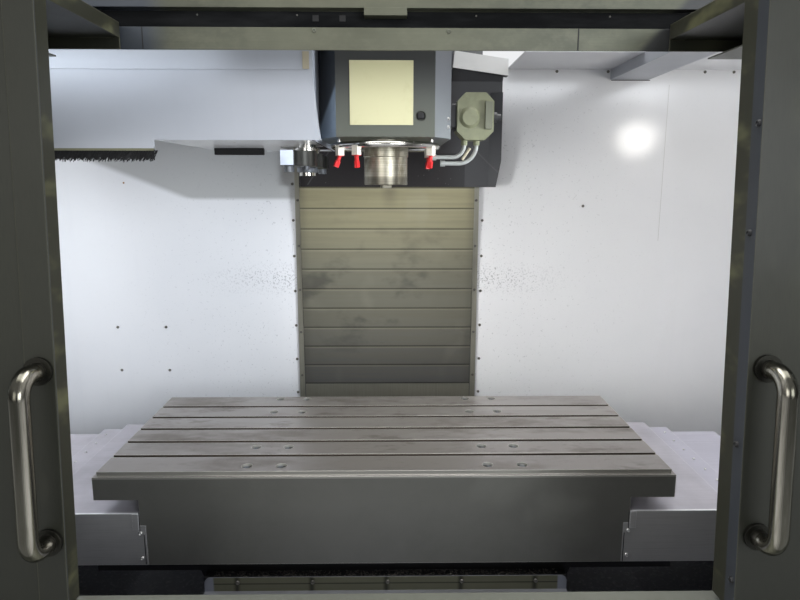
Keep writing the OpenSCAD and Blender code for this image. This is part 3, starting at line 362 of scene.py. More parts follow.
def flange_steel():
    """Y cover: dull olive flange with a light rim and a fold across it drawn as a dark line of painted shade;
    the leaf in front is bluish.
    """
    look = Look("flange_steel")
    x, _, z = look.axes()
    streak = look.streaks()
    cloud = look.noise(5.0, (1, 1, 2), 4.0, 0.6)
    # Painted shade: a dark line along the fold's crease
    fold = abs(z - 0.5565).fall(0.0, 0.003)
    stripes_per_metre, flange_end = 4.93, 0.466
    off_stripe = abs((x * stripes_per_metre + 0.5).fract() - 0.5)
    stripe = off_stripe.fall(0.0, 0.06) * (abs(x) < 0.46)
    inner = look.mix(cloud, (104, 104, 84), (126, 126, 106))
    inner = look.mix(fold * 0.8, inner, (34, 34, 30))
    inner = look.mix(stripe * 0.75, inner, (34, 34, 30))
    face = look.mix(abs(x).step(flange_end, flange_end + 0.006), inner, (150, 154, 164))
    leaf = look.mix(cloud.step(0.3, 0.8) * 0.6, (158, 160, 168), (118, 118, 120))
    front_face = look.facing()[1] < -0.7
    return look.finish(
        Base_Color=look.mix(front_face, leaf, face),
        Metallic=0.5,
        Roughness=0.4 + (streak - 0.5) * 0.12,
        Normal=look.bump(streak, 0.08, 0.0006, 0.0012),
    )


def cover_steel():
    """X covers: brushed along their travel, darker fronts, oil and chips' scratches on top, painted
    highlights along the edges.
    """
    look = Look("cover_steel")
    x, y, z = look.axes()
    nz = look.facing()[2]
    streak = look.streaks()
    cloud = look.noise(3.0, (1.4, 1, 1), 4.0, 0.6)
    scratch = look.noise(6.0, (1.2, 90, 90), 3.0, 0.8).step(0.66, 0.72)
    top = look.mix(cloud.step(0.35, 0.7) * 0.6, (198, 195, 203), (158, 156, 163))
    far_right = x.step(0.9, 1.0)
    top = look.mix(far_right * 0.6, top, (212, 211, 226))
    top = look.mix(scratch * 0.35, top, (210, 208, 212))
    side = look.mix(cloud.step(0.3, 0.75) * 0.6, (180, 180, 180), (154, 154, 155))
    side = look.mix((x > 0) * 0.35, side, (206, 206, 202))
    colour = look.mix(nz > 0.7, side, top)
    colour = look.mix(streak.step(0.4, 0.8) * 0.22, colour, (96, 95, 96))
    # Painted highlights: a bright line along the front lip and along sharp edges
    front_lip_highlight = (abs(z - 0.7675) < 0.004) * (y < -0.327)
    colour = look.mix((look.highlit_edges(0.003) * 0.8 + front_lip_highlight).capped(), colour, (246, 246, 248))
    return look.finish(
        Base_Color=colour,
        Metallic=0.55,
        Roughness=0.36 + cloud * 0.12 + (streak - 0.5) * 0.1,
        Normal=look.bump(streak, 0.08, 0.0006, 0.0012),
    )


def arm_steel():
    """Tool arm: blackened body with a bright ground end and bright fingers."""
    look = Look("arm_steel")
    x, y, z = look.axes()
    cloud = look.noise(30.0, detail=4.0)
    body = look.mix(cloud, (40, 41, 41), (84, 84, 80))
    bright = look.mix(cloud, (172, 180, 192), (146, 152, 162))
    ground_end = (x < -0.231) * (y < -0.235) * (z > 1.674)
    fingers = z < 1.672
    return look.finish(
        Base_Color=look.mix((ground_end + fingers * 0.3).capped(), body, bright),
        Metallic=0.8,
        Roughness=0.3 + cloud * 0.14,
        Normal=look.soft_edges(0.0015),
    )


def spindle_steel():
    """Spindle nose: ground steel with turning marks, straw-coloured upper half, lower rim dark with oil."""
    look = Look("spindle_steel")
    z = look.axes()[2]
    turned = look.noise(2.0, (1, 1, 260), 3.0, 0.7)
    oil = look.noise(24.0, (1, 1, 0.6), 4.0, 0.65)
    steel = look.mix(turned.step(0.35, 0.7) * 0.6, (196, 192, 176), (128, 122, 100))
    steel = look.mix(oil.step(0.5, 0.7) * 0.5, steel, (104, 92, 62))
    lower_rim = z.fall(1.64, 1.652)
    return look.finish(
        Base_Color=look.mix(lower_rim * 0.6, steel, (70, 66, 58)),
        Metallic=0.95,
        Roughness=0.26 + oil * 0.2,
        Normal=look.bump(turned, 0.1, 0.0003, 0.001),
    )


def valve_plastic():
    """Ring valves: white bodies with red taps below them."""
    look = Look("valve_plastic")
    z = look.axes()[2]
    dust = look.noise(60.0, detail=4.0)
    white = look.mix(dust, (228, 224, 214), (196, 186, 168))
    red = look.mix(dust, (206, 34, 34), (168, 26, 28))
    taps = z < 1.7035
    return look.finish(
        Base_Color=look.mix(taps, white, red),
        Roughness=0.36 + dust * 0.1,
        Normal=look.bump(dust, 0.1, 0.0004, 0.001),
    )


def box_plastic():
    """Junction box: beige cover, dark glands and conduit fitting, greyish lever."""
    look = Look("box_plastic")
    x, y, _ = look.axes()
    skin = look.noise(500.0, detail=2.0)
    dust = look.noise(20.0, detail=5.0, rough=0.65)
    beige = look.mix(dust.step(0.4, 0.75) * 0.6, (126, 128, 102), (102, 103, 82))
    lever = look.mix(dust, (120, 122, 104), (98, 100, 86))
    dark = look.mix(dust, (34, 35, 38), (66, 66, 66))
    on_lever = (y < -0.011) * (x > 0.28)
    fittings = ((x > 0.3115) + (x < 0.2045)).capped()
    colour = look.mix(fittings, look.mix(on_lever, beige, lever), dark)
    return look.finish(
        Base_Color=colour,
        Roughness=0.44 + dust * 0.1,
        Normal=look.bump(skin, 0.1, 0.0003, 0.002),
    )


def apron_paint():
    """Dark apron, slate grey at the right, near black with painted shade under the head, painted highlights
    along its folds, white duct over it.
    """
    look = Look("apron_dark")
    x, _, z = look.axes()
    cloud = look.noise(4.0, (1, 1, 1.4), 5.0, 0.6)
    pebble = look.noise(420.0, detail=1.0)
    speck = look.cells(70.0) < 0.09
    dark = look.mix(cloud, (38, 35, 36), (50, 46, 48))
    slate = look.mix(cloud, (78, 79, 82), (66, 67, 70))
    base = look.mix(x.step(0.2, 0.3), dark, slate)
    # Painted shade: near black under the head
    shade_under_head = (z < 1.74) * (x < 0.3)
    base = look.mix(shade_under_head * 0.55, base, (26, 24, 25))
    # Painted highlights: pale lines along the folds of the sheet
    right_crease_highlight = abs((x - 0.338) * 0.95 + (z - 1.752)).fall(0.0, 0.006) * (x > 0.325)
    left_crease_highlight = abs((x + 0.289) * -1.48 + (z - 1.646)).fall(0.0, 0.008) * (x < -0.2)
    base = look.mix((right_crease_highlight + left_crease_highlight).capped() * (z > 1.62) * 0.35, base, (110, 110, 112))
    base = look.mix(speck * (cloud > 0.55) * (z < 1.72), base, (120, 118, 116))
    white = look.mix(cloud.step(0.4, 0.75) * 0.4, (224, 224, 222), (196, 196, 192))
    duct = (z - (2.046 - (x - 0.244) * 0.137)) > 0.0005  # above a line that falls to the right
    return look.finish(
        Base_Color=look.mix(duct * (x > 0.2435), base, white),
        Roughness=0.44 + cloud * 0.12,
        Normal=look.bump(pebble, 0.08, 0.0005, 0.0018),
    )


def head_paint():
    """Head: grey-green paint, lighter below the plate and darker above it with painted shade, painted light
    on both chamfers (bluish on the left), and a painted shadow over the left chamfer's upper corner.
    """
    look = Look("head_paint")
    x, y, z = look.axes()
    cloud = look.noise(3.0, (1, 1, 1.4), 5.0, 0.6)
    pebble = look.noise(420.0, detail=1.0)
    run = look.noise(6.0, (7, 7, 0.35), 4.0, 0.6).step(0.55, 0.85)
    # Painted shade: darker from the plate upwards
    base = look.mix(z.step(1.76, 1.95), (84, 87, 78), (54, 55, 55))
    base = look.mix(cloud.step(0.35, 0.75) * 0.3, base, (66, 68, 62))
    base = look.mix(run * 0.25, base, (78, 76, 66))
    # Painted light: the left chamfer lighter and bluish, as lit from the left; a painted shadow with a
    # slanted edge darkens its upper corner
    left_chamfer = (x < -0.1295) * (y > -0.1755)
    chamfer_shadow = ((z - 1.7935) + (x + 0.174) * -1.9).step(-0.012, 0.012)
    base = look.mix(left_chamfer, base, look.mix(chamfer_shadow * 0.9, (122, 136, 150), (20, 20, 22)))
    # Painted light: the right chamfer lighter and greyer
    right_chamfer = x > 0.1305
    base = look.mix(right_chamfer * 0.6, base, (112, 115, 120))
    return look.finish(
        Base_Color=base,
        Roughness=0.42 + cloud * 0.15,
        Normal=look.bump(pebble, 0.1, 0.0005, 0.003),
    )


def paint(name, colour, grime, rough, peel, dirt, edge=0.0015, chip=None):
    """Sprayed paint: orange peel, clouds of dirt, faint runs of coolant and, where asked, chipped spots."""
    look = Look(name)
    cloud = look.noise(1.7, (1, 1, 1.4), 5.0, 0.6)
    run = look.noise(5.0, (7, 7, 0.35), 4.0, 0.6).step(0.52, 0.85)
    pebble = look.noise(420.0, detail=1.0)
    amount = cloud.step(0.4, 0.75) * dirt + run * dirt * 0.5
    base = look.mix(amount.capped(), colour, grime)
    if chip is not None:
        worn = (look.noise(55.0, detail=4.0, rough=0.7) > 0.71) * (cloud > 0.55)
        base = look.mix(worn * 0.8, base, chip)
    return look.finish(
        Base_Color=base,
        Roughness=rough + amount * 0.22,
        Normal=look.bump(pebble, peel, 0.0005, edge),
    )


def wall_paint():
    """White walls: chip spray beside the Z cover, a painted shadow below the tool changer, brown specks,
    seams.
    """
    look = Look("wall_paint")
    x, y, z = look.axes()
    _, ny, nz = look.facing()
    cloud = look.noise(1.3, (1, 1, 1.3), 5.0, 0.6)
    run = look.noise(4.0, (6, 6, 0.3), 4.0, 0.6).step(0.55, 0.85)
    pebble = look.noise(380.0, detail=1.0)
    indoors = (y < 0.659) * (z < 2.0)
    base = look.mix(cloud.step(0.35, 0.8) * 0.3 + run * 0.1, (238, 239, 241), (216, 219, 225))
    spray = abs(z - 1.262 + abs(x) * 0.03).fall(0.0, 0.085) * abs(x).fall(0.36, 0.8)
    dots = (look.noise(150.0, detail=2.0) > 0.585) * spray
    far = (look.noise(120.0, detail=2.0, shift=(4, 2, 1)) > 0.69) * abs(x).step(0.36, 1.2, 1.0, 0.1)
    base = look.mix((dots * 0.55 + far * 0.3).capped() * indoors, base, (128, 130, 134))
    rust = (look.cells(9.0) < 0.035) * (look.noise(2.0) > 0.5)
    base = look.mix(rust * indoors, base, (150, 112, 62))
    # Painted shadow of the tool changer cover on the inside face below it, with a slanted edge
    changer_shadow_edge = (z + (x + 1.126) * 0.39).step(1.685, 1.715)
    changer_shadow = z.step(1.555, 1.575) * changer_shadow_edge * (x < -0.355) * (ny < -0.5)
    base = look.mix(changer_shadow * indoors * 0.62, base, (138, 139, 134))
    upright_seam = (abs(x - 1.0875) < 0.0012) * (z > 1.4)
    level_seam = abs(z - 2.0375).fall(0.0, 0.0018)
    base = look.mix((upright_seam * 0.35 + level_seam * 0.25).capped() * indoors, base, (150, 150, 138))
    top_edge = (nz > 0.7) * (z > 1.9)
    base = look.mix(top_edge * 0.85, base, (146, 148, 152))
    foot = z.step(0.6, 0.98, 0.25, 0.0)
    base = look.mix(foot * look.noise(6.0, detail=5.0), base, (150, 152, 156))
    return look.finish(
        Base_Color=base,
        Roughness=0.34 + cloud * 0.12,
        Coat_Weight=0.75,
        Coat_Roughness=0.14,
        Normal=look.bump(pebble, 0.06, 0.0004),
    )


def door_paint():
    """Doors: dark olive paint, upright grain, rubbed patches, a painted sheen on the right door; blue-grey
    strip down the edge with painted highlights, and a painted highlight along the corner.
    """
    look = Look("door_paint")
    x, y, z = look.axes()
    nx, ny, _ = look.facing()
    grain = look.noise(3.0, (170, 170, 1.6), 4.0, 0.7)
    cloud = look.noise(2.2, (1, 1, 0.8), 5.0, 0.6)
    rub = cloud.step(0.45, 0.75)
    colour = look.mix(rub * 0.45, (38, 39, 31), (50, 50, 41))
    colour = look.mix(grain.step(0.35, 0.8) * 0.45, colour, (30, 32, 27))
    smear = look.noise(8.0, (1, 1, 0.5), 3.0, 0.7).step(0.62, 0.78)
    colour = look.mix(smear * 0.25, colour, (66, 66, 55))
    colour = look.mix(z.step(0.85, 1.5, 0.5, 0.0), colour, (24, 25, 20))
    # Painted sheen: pale patches on the right door's upper front
    sheen = look.noise(6.0, (1.2, 1, 0.5), 2.0, 0.5, (5, 0, 2)).step(0.44, 0.74) * z.step(1.25, 1.75)
    sheen = sheen * abs(x - 0.73).fall(0.0, 0.12)
    colour = look.mix(sheen * (ny < -0.5) * 0.32, colour, (104, 104, 78))
    # Painted highlights on the doors' edge faces
    side_highlight = look.noise(5.0, (1, 1, 2.2), 3.0, 0.6).step(0.5, 0.68)
    edge = look.mix(side_highlight * 0.7, (54, 54, 44), (112, 112, 82))
    edge = look.mix(behind_door(y, z) < 0.033, edge, (62, 65, 70))
    side = (abs(nx) > 0.7) * (abs(x) < 0.9)
    colour = look.mix(side, colour, edge)
    # Painted highlight along the doors' corners
    rim = look.highlit_edges(0.0035) * (abs(x) < 0.66)
    colour = look.mix(rim * 0.28, colour, (126, 126, 104))
    return look.finish(
        Base_Color=colour,
        Metallic=0.1,
        Specular_IOR_Level=0.3,
        Roughness=0.42 + rub * 0.14 + (grain - 0.5) * 0.12,
        Normal=look.bump(grain, 0.07, 0.0006, 0.003),
    )


def handle_steel():
    """Handles: bright tube with long wipe marks and a painted dark reflection down its front, dark where the
    feet meet the door.
    """
    look = Look("handle_steel")
    _, y, z = look.axes()
    wipe = look.noise(4.0, (30, 30, 1.2), 4.0, 0.7)
    foot = (behind_door(y, z) * -1.0).fall(0.008, 0.03)
    tube = look.mix(wipe.step(0.35, 0.7) * 0.5, (176, 172, 160), (96, 92, 76))
    # Painted reflection: darker where the tube faces forward, lighter where it turns sideways
    tube = look.mix(abs(look.facing()[0]).step(0.3, 0.8, 0.85, 0.0), tube, (52, 52, 44))
    return look.finish(
        Base_Color=look.mix(foot * 0.9, tube, (34, 34, 31)),
        Metallic=1.0,
        Roughness=0.14 + wipe * 0.1 + foot * 0.25,
        Normal=look.soft_edges(0.001),
    )


def saddle_paint():
    """Saddle casting: dark paint, near black on its front and its ledge's top with oil and painted shade,
    chips on its front.
    """
    look = Look("saddle_paint")
    z = look.axes()[2]
    _, ny, nz = look.facing()
    cloud = look.noise(6.0, detail=5.0)
    # Oil and painted shade: the front faces and the ledge's top are made near black
    ledge_top = (nz > 0.5) * (z < 0.6)
    oil = ((ny < -0.5) + ledge_top).capped()
    paint_tone = look.mix(cloud, (52, 54, 56), (76, 78, 80))
    return look.finish(
        Base_Color=look.mix(oil, paint_tone, look.mix(cloud, (9, 9, 10), (20, 20, 21))),
        Roughness=0.55 - oil * 0.1,
        Normal=look.bump(cloud, 0.2, 0.0015, 0.003),
    )


def casting(name, colour, grime):
    """Painted casting: coarse skin under thick paint, dirt with oil in it."""
    look = Look(name)
    lump = look.noise(28.0, detail=6.0, rough=0.65)
    cloud = look.noise(2.0, detail=5.0, rough=0.6)
    return look.finish(
        Base_Color=look.mix(cloud.step(0.4, 0.75) * 0.6, colour, grime),
        Roughness=0.48 + cloud * 0.15,
        Normal=look.bump(lump, 0.25, 0.002, 0.004),
    )


def polished(name, colour, rough, smear, metal=1.0):
    """Polished metal with finger smears and fine turning lines."""
    look = Look(name)
    smudge = look.noise(14.0, (1, 1, 0.6), 5.0, 0.65)
    fine = look.noise(8.0, (1, 1, 120), 3.0, 0.6)
    return look.finish(
        Base_Color=look.mix(smudge.step(0.5, 0.8) * 0.35, colour, (150, 146, 136)),
        Metallic=metal,
        Roughness=rough + smudge.step(0.4, 0.8) * smear,
        Normal=look.bump(fine, 0.04, 0.0004, 0.0008),
    )


def moulded(name, colour, worn, rough):
    """Moulded plastic or rubber with a fine texture and dust."""
    look = Look(name)
    skin = look.noise(600.0, detail=2.0)
    dust = look.noise(18.0, detail=5.0, rough=0.65).step(0.5, 0.8)
    return look.finish(
        Base_Color=look.mix(dust * 0.5, colour, worn),
        Roughness=rough + dust * 0.15,
        Normal=look.bump(skin, 0.12, 0.0003, 0.001),
    )


def dull_black():
    """Dark inner face of the rail slot, greasy and without shine."""
    look = Look("slot_black")
    grease = look.noise(9.0, (0.6, 3, 3), 4.0, 0.6)
    colour = look.mix(grease.step(0.35, 0.7), (18, 19, 20), (36, 37, 38))
    return look.finish(Base_Color=colour, Roughness=0.7, Specular_IOR_Level=0.08)


def bristle_strip():
    """Bristle strip: an olive holder over black hair."""
    look = Look("brush_black")
    z = look.axes()[2]
    hair = look.noise(40.0, (30, 30, 1.5), 3.0, 0.7)
    black = look.mix(hair, (16, 16, 17), (52, 52, 54))
    olive = look.mix(hair, (118, 118, 96), (92, 92, 76))
    holder = z > 1.7098
    return look.finish(
        Base_Color=look.mix(holder, black, olive),
        Roughness=0.5 + hair * 0.15,
        Normal=look.bump(hair, 0.2, 0.0006),
    )


def pan_paint():
    """Wet dark pan with grit and puddles of coolant."""
    look = Look("pan_paint")
    grit = look.noise(90.0, detail=5.0, rough=0.7)
    wet = look.noise(3.5, detail=3.0).step(0.45, 0.6)
    base = look.mix(grit.step(0.5, 0.7), (88, 89, 98), (122, 121, 126))
    return look.finish(
        Base_Color=look.mix(wet * 0.2, base, (54, 54, 61)),
        Roughness=0.6 - wet * 0.12,
        Normal=look.bump(grit, 0.35, 0.002),
    )


def pane():
    """Door windows: greenish glass with wiped smears."""
    look = Look("window_glass")
    smear = look.noise(5.0, (1, 1, 0.7), 5.0, 0.65)
    return look.finish(
        Base_Color=look.mix(smear, (150, 160, 158), (120, 130, 128)),
        Roughness=0.06 + smear.step(0.5, 0.8) * 0.2,
        Alpha=0.38,
        IOR=1.45,
    )


FINISH = {
    "table": table_steel(),
    "leaf": leaf_steel(),
    "cover": cover_steel(),
    "cover_y": flange_steel(),
    "strip": sheet_steel("strip_steel", (176, 174, 160), (128, 126, 116), "Z", 0.36, 0.4),
    "header": header_steel(),
    "rail": sheet_steel("rail_steel", (176, 174, 166), (126, 124, 118), "Y", 0.25, 0.5, 0.95),
    "wall": wall_paint(),
    "white": paint("white_paint", (168, 172, 180), (148, 151, 156), 0.36, 0.06, 0.3),
    "cabinet": paint("cabinet_paint", (164, 166, 168), (146, 147, 146), 0.4, 0.1, 0.2),
    "door": door_paint(),
    "apron": paint("apron_paint", (96, 98, 88), (66, 68, 62), 0.4, 0.08, 0.4, chip=(150, 150, 142)),
    "head": head_paint(),
    "slate": apron_paint(),
    "dark": paint("dark_paint", (72, 73, 78), (46, 46, 48), 0.42, 0.08, 0.5, edge=0.002),
    "motor": paint("motor_paint", (44, 45, 48), (30, 30, 32), 0.45, 0.15, 0.5),
    "casting": casting("cast_paint", (118, 120, 120), (74, 74, 74)),
    "pan": pan_paint(),
    "beige": moulded("beige_paint", (168, 160, 138), (146, 138, 116), 0.5),
    "dull_screw": casting("dull_screw_steel", (112, 114, 98), (70, 72, 64)),
    "brush": bristle_strip(),
    "chrome": polished("chrome", (214, 212, 206), 0.13, 0.2),
    "handle": handle_steel(),
    "saddle": saddle_paint(),
    "plug": polished("plug_steel", (122, 126, 130), 0.22, 0.15),
    "slot": dull_black(),
    "bright": polished("bright_steel", (226, 226, 224), 0.25, 0.12),
    "arm": arm_steel(),
    "spindle": spindle_steel(),
    "screw": polished("screw_steel", (120, 118, 112), 0.35, 0.2, 0.8),
    "black_screw": moulded("black_oxide", (30, 30, 31), (62, 60, 56), 0.4),
    "rubber": moulded("black_rubber", (26, 26, 27), (58, 56, 52), 0.6),
    "bristle": moulded("bristle_black", (20, 20, 21), (46, 44, 42), 0.65),
    "box": box_plastic(),
    "valve": valve_plastic(),
    "red": moulded("red_plastic", (196, 34, 30), (120, 30, 26), 0.35),
    "hose": moulded("hose_grey", (150, 152, 148), (110, 110, 104), 0.3),
    "pane": pane(),
    "plate": moulded("blank_plate", (200, 196, 156), (176, 168, 126), 0.4),
    "screen": moulded("screen_black", (16, 18, 20), (34, 36, 38), 0.12),
    "chip": polished("chip_dark", (96, 93, 88), 0.4, 0.2, 0.8),
}

FINISHED_NODES = {
    "casting": "base column levelling_feet",
    "saddle": "saddle",
    "rail": "guide_rails x_screw y_screw z_screw",
    "motor": "servo_motors tool_changer_drive",
    "pan": "chip_pan",
    "apron": "front_apron front_panels pendant_arm",
    "wall": "side_panels rear_walls",
    "header": "header_beam",
    "white": "roof_beam tool_changer_cover",
    "strip": "way_cover_frame",
    "brush": "brush_strip",
    "cabinet": "electrical_cabinet cabinet_door",
    "dark": "pendant_case",
    "red": "emergency_stop",
    "door": "door_left door_right",
    "pane": "window_left window_right",
    "handle": "handle_left handle_right",
    "cover": "x_covers_1 x_covers_2 x_covers_3 x_covers_4 x_covers_5 carousel",
    "cover_y": "y_cover_1 y_cover_2",
    "table": "table",
    "plug": "table_plugs",
    "head": "head",
    "slate": "back_apron",
    "chrome": "coolant_ring arm_shaft",
    "valve": "coolant_valves",
    "box": "junction_box",
    "hose": "coolant_hoses",
    "spindle": "spindle",
    "arm": "tool_arm",
    "leaf": " ".join(f"z_leaf_{k}" for k in range(1, 11)),
}
for finish_name, node_names in FINISHED_NODES.items():
    for node_name in node_names.split():
        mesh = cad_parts[node_name].data
        mesh.materials.clear()
        mesh.materials.append(FINISH[finish_name])


# -------- small parts
def piece(name, mesh, finish, body, smooth=False):
    """Puts a finished mesh into the scene, riding on a body."""
    obj = bpy.data.objects.new(name, mesh)
    bpy.context.scene.collection.objects.link(obj)
    mesh.materials.clear()
    mesh.materials.append(FINISH[finish])
    for face in mesh.polygons:
        face.use_smooth = smooth
    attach(obj, body)


def shaped(holder):
    """The plain mesh that an object's curve or modifier gives; the object itself goes."""
    bpy.context.scene.collection.objects.link(holder)
    bpy.context.view_layer.update()
    mesh = bpy.data.meshes.new_from_object(holder.evaluated_get(bpy.context.evaluated_depsgraph_get()))
    bpy.data.objects.remove(holder)
    return mesh


def plates(name, boxes, finish, body, bevel=0.3, segments=2, smooth=False):
    """Boxes with rounded edges, given by their low and high corners; every length in millimetres."""
    form = bmesh.new()
    for low, high in boxes:
        a, b = mm(*low), mm(*high)
        fresh = bmesh.ops.create_cube(form, size=1.0)["verts"]
        bmesh.ops.scale(form, vec=b - a, verts=fresh)
        bmesh.ops.translate(form, vec=(a + b) / 2, verts=fresh)
    bmesh.ops.bevel(
        form, geom=form.edges[:], offset=bevel / 1000.0, segments=segments, affect="EDGES", profile=0.5)
    bmesh.ops.recalc_face_normals(form, faces=form.faces[:])
    mesh = bpy.data.meshes.new(name)
    form.to_mesh(mesh)
    form.free()
    piece(name, mesh, finish, body, smooth)


def tube(name, points, radius, finish, body, slot):
    """A smooth closed-ended tube through points; every length in millimetres."""
    curve = bpy.data.curves.new(name, "CURVE")
    curve.dimensions = "3D"
    curve.bevel_depth = radius / 1000.0
    curve.bevel_resolution = 4
    curve.resolution_u = 6
    curve.use_fill_caps = True
    spline = curve.splines.new("NURBS")
    spline.points.add(len(points) - 1)
    for target, point in zip(spline.points, points):
        target.co = (*mm(*point), 1.0)
    spline.use_endpoint_u = True
    spline.order_u = 4
    piece(name, shaped(bpy.data.objects.new(name, curve)), finish, body, True)


def applied(name, mesh, tree, finish, body, slot, smooth=True, **values):
    """Runs a tree on a mesh and keeps the result as a plain piece."""
    holder = bpy.data.objects.new(name, mesh)
    modifier = holder.modifiers.new("shape", "NODES")
    modifier.node_group = tree
    values["Finish"] = FINISH[finish]
    for item in tree.interface.items_tree:
        if item.item_type == "SOCKET" and item.in_out == "INPUT" and item.name in values:
            modifier[item.identifier] = values[item.name]
    result = shaped(holder)
    result.name = name
    piece(name, result, finish, body, smooth)


class Shape(Graph):
    """One Geometry Nodes tree that puts a form on points; its sizes are named inputs."""

    KINDS = {float: "NodeSocketFloat", int: "NodeSocketInt", tuple: "NodeSocketVector"}

    def __init__(self, name, **inputs):
        super().__init__(bpy.data.node_groups.new(name, "GeometryNodeTree"))
        new_socket = self.tree.interface.new_socket
        new_socket("Geometry", in_out="OUTPUT", socket_type="NodeSocketGeometry")
        new_socket("Geometry", in_out="INPUT", socket_type="NodeSocketGeometry")
        new_socket("Finish", in_out="INPUT", socket_type="NodeSocketMaterial")
        for label, value in inputs.items():
            new_socket(label, in_out="INPUT", socket_type=self.KINDS[type(value)]).default_value = value
        self.start = self.add("NodeGroupInput")

    def taken(self, label):
        return Value(self, self.start.outputs[label])

    def cone(self, vertices, top, bottom, depth):
        return self.add("GeometryNodeMeshCone", None, {
            "Vertices": vertices, "Radius Top": top, "Radius Bottom": bottom, "Depth": depth,
        })

    def rod(self, vertices, radius, depth):
        feeds = {"Vertices": vertices, "Radius": radius, "Depth": depth}
        return self.add("GeometryNodeMeshCylinder", None, feeds)

    def raised(self, form, height):
        way = self.add("ShaderNodeCombineXYZ", None, {"Z": height})
        return self.add("GeometryNodeTransform", None, {"Geometry": form, "Translation": way})

    def chance(self, low, high):
        """A random vector between two others, drawn with the Seed input."""
        return self.add("FunctionNodeRandomValue", {"data_type": "FLOAT_VECTOR"}, {
            "Min": low, "Max": high, "Seed": self.taken("Seed"),
        })

    def closed(self, points, form, turn, **scale):
        """Puts the form on every point, makes the copies real and gives them their finish."""
        rotation = self.add("FunctionNodeEulerToRotation", None, {0: turn})
        spread = self.add("GeometryNodeInstanceOnPoints", None, {
            "Points": points, "Instance": form, "Rotation": rotation, **scale,
        })
        real = self.add("GeometryNodeRealizeInstances", None, {0: spread})
        coat = self.add("GeometryNodeSetMaterial", None, {"Geometry": real, "Material": self.taken("Finish")})
        self.add("NodeGroupOutput", None, {0: coat})
        return self.tree


def screw_tree():
    """A domed head with a sunk socket on every point, turned from facing up."""
    shape = Shape("screw_heads", Radius=0.005, Height=0.003, Turn=(0.0, 0.0, 0.0))
    radius, height = shape.taken("Radius"), shape.taken("Height")
    rim = shape.rod(20, radius, height)
    ball = shape.add("GeometryNodeMeshUVSphere", None, {"Segments": 20, "Rings": 8, "Radius": radius})
    dome = shape.add("GeometryNodeTransform", None, {"Geometry": ball, "Scale": (0.94, 0.94, 0.42)})
    cutter = shape.raised(shape.rod(6, radius * 0.5, radius), radius * 0.55 + height)
    sunk = shape.add("GeometryNodeMeshBoolean", {"operation": "DIFFERENCE"}, {
        0: shape.raised(dome, height), 1: cutter,
    })
    head = shape.add("GeometryNodeJoinGeometry", None, {0: rim})
    shape.feed(head.inputs[0], sunk)
    return shape.closed(shape.start, head, shape.taken("Turn"))


def bristle_tree():
    """Thin hairs along a line, leaning by a set angle with a random share."""
    shape = Shape("bristle_rows", Count=300, Length=0.03, Lean=0.5, Seed=3)
    length, lean = shape.taken("Length"), shape.taken("Lean")
    row = shape.add("GeometryNodeMeshToCurve", None, {0: shape.start})
    feeds = {"Curve": row, "Count": shape.taken("Count")}
    points = shape.add("GeometryNodeCurveToPoints", {"mode": "COUNT"}, feeds)
    hair = shape.raised(shape.cone(4, 0.0011, 0.0006, length), length * -1.0)
    low = shape.add("ShaderNodeCombineXYZ", None, {"X": -0.12, "Y": lean - 0.35})
    high = shape.add("ShaderNodeCombineXYZ", None, {"X": 0.12, "Y": lean + 0.35})
    return shape.closed(points, hair, shape.chance(low, high))


def chip_tree():
    """Small wedge-shaped chips strewn at random over faces."""
    shape = Shape("chip_scatter", Density=900.0, Size=0.004, Seed=5)
    points = shape.add("GeometryNodeDistributePointsOnFaces", None, {
        "Mesh": shape.start, "Density": shape.taken("Density"), "Seed": shape.taken("Seed"),
    })
    grow = shape.chance((0.4, 0.2, 0.25), (1.5, 0.7, 0.8))
    scale = shape.add("ShaderNodeVectorMath", {"operation": "SCALE"}, {0: grow, "Scale": shape.taken("Size")})
    spin = shape.chance((-0.5, -0.5, 0.0), (0.5, 0.5, 6.28))
    return shape.closed(points, shape.cone(5, 0.22, 0.5, 0.5), spin, Scale=scale)


SCREWS = screw_tree()
# Ways that screws are turned from facing up
UPWARD = (0.0, 0.0, 0.0)
FORWARD = (math.pi / 2, 0.0, 0.0)
LEFTWARD = (0.0, -math.pi / 2, 0.0)
OFF_DOOR = (math.pi / 2 - math.atan(LEAN), 0.0, 0.0)
OFF_CHAMFER = (math.pi / 2, 0.0, 1.063)


def screws(name, points, turn, radius, height, body, finish="screw", slot="ground_steel"):
    """Screw heads at points; every length in millimetres."""
    mesh = bpy.data.meshes.new(name)
    mesh.from_pydata([mm(*point) for point in points], [], [])
    applied(name, mesh, SCREWS, finish, body, slot, Radius=radius / 1000.0, Height=height / 1000.0, Turn=turn)


# Rear walls and the Z cover's frame on them
WALL = 680.0
wall_rows = [1623 - 142 * i for i in range(7)]
wall_points = [(x, z) for x in (-372, 378) for z in wall_rows]
wall_points += [(-1096, 1049), (-901, 1049), (-1093, 868), (-897, 867), (778, 1538)]
wall_points += [(x, 2048) for x in (651, 848, 1222, 1334, 1560, -1222, -1334, -1560)]
screws("wall_screws", [(x, WALL, z) for x, z in wall_points], FORWARD, 5.5, 2.5, "frame")
screws("strip_screws", [
    (x, WALL - 8, z) for x in (-352, 352) for z in (1560, 1380, 1203, 1028, 846)
], FORWARD, 5.0, 2.0, "frame")

# Front flanges of the X covers: screws, folds, and dark strips of painted shade in the gaps
FLANGE = -308.0
screws("cover_flange_screws", [
    (x, FLANGE, z) for x in (-655, 653) for z in (708, 636)
], FORWARD, 5.5, 3.0, "table", "bright")
plates("cover_folds", [
    ((-675, FLANGE - 1.4, 718), (-658, FLANGE, 765)), ((656, FLANGE - 1.4, 716), (673, FLANGE, 763)),
], "cover", "table", bevel=0.6)
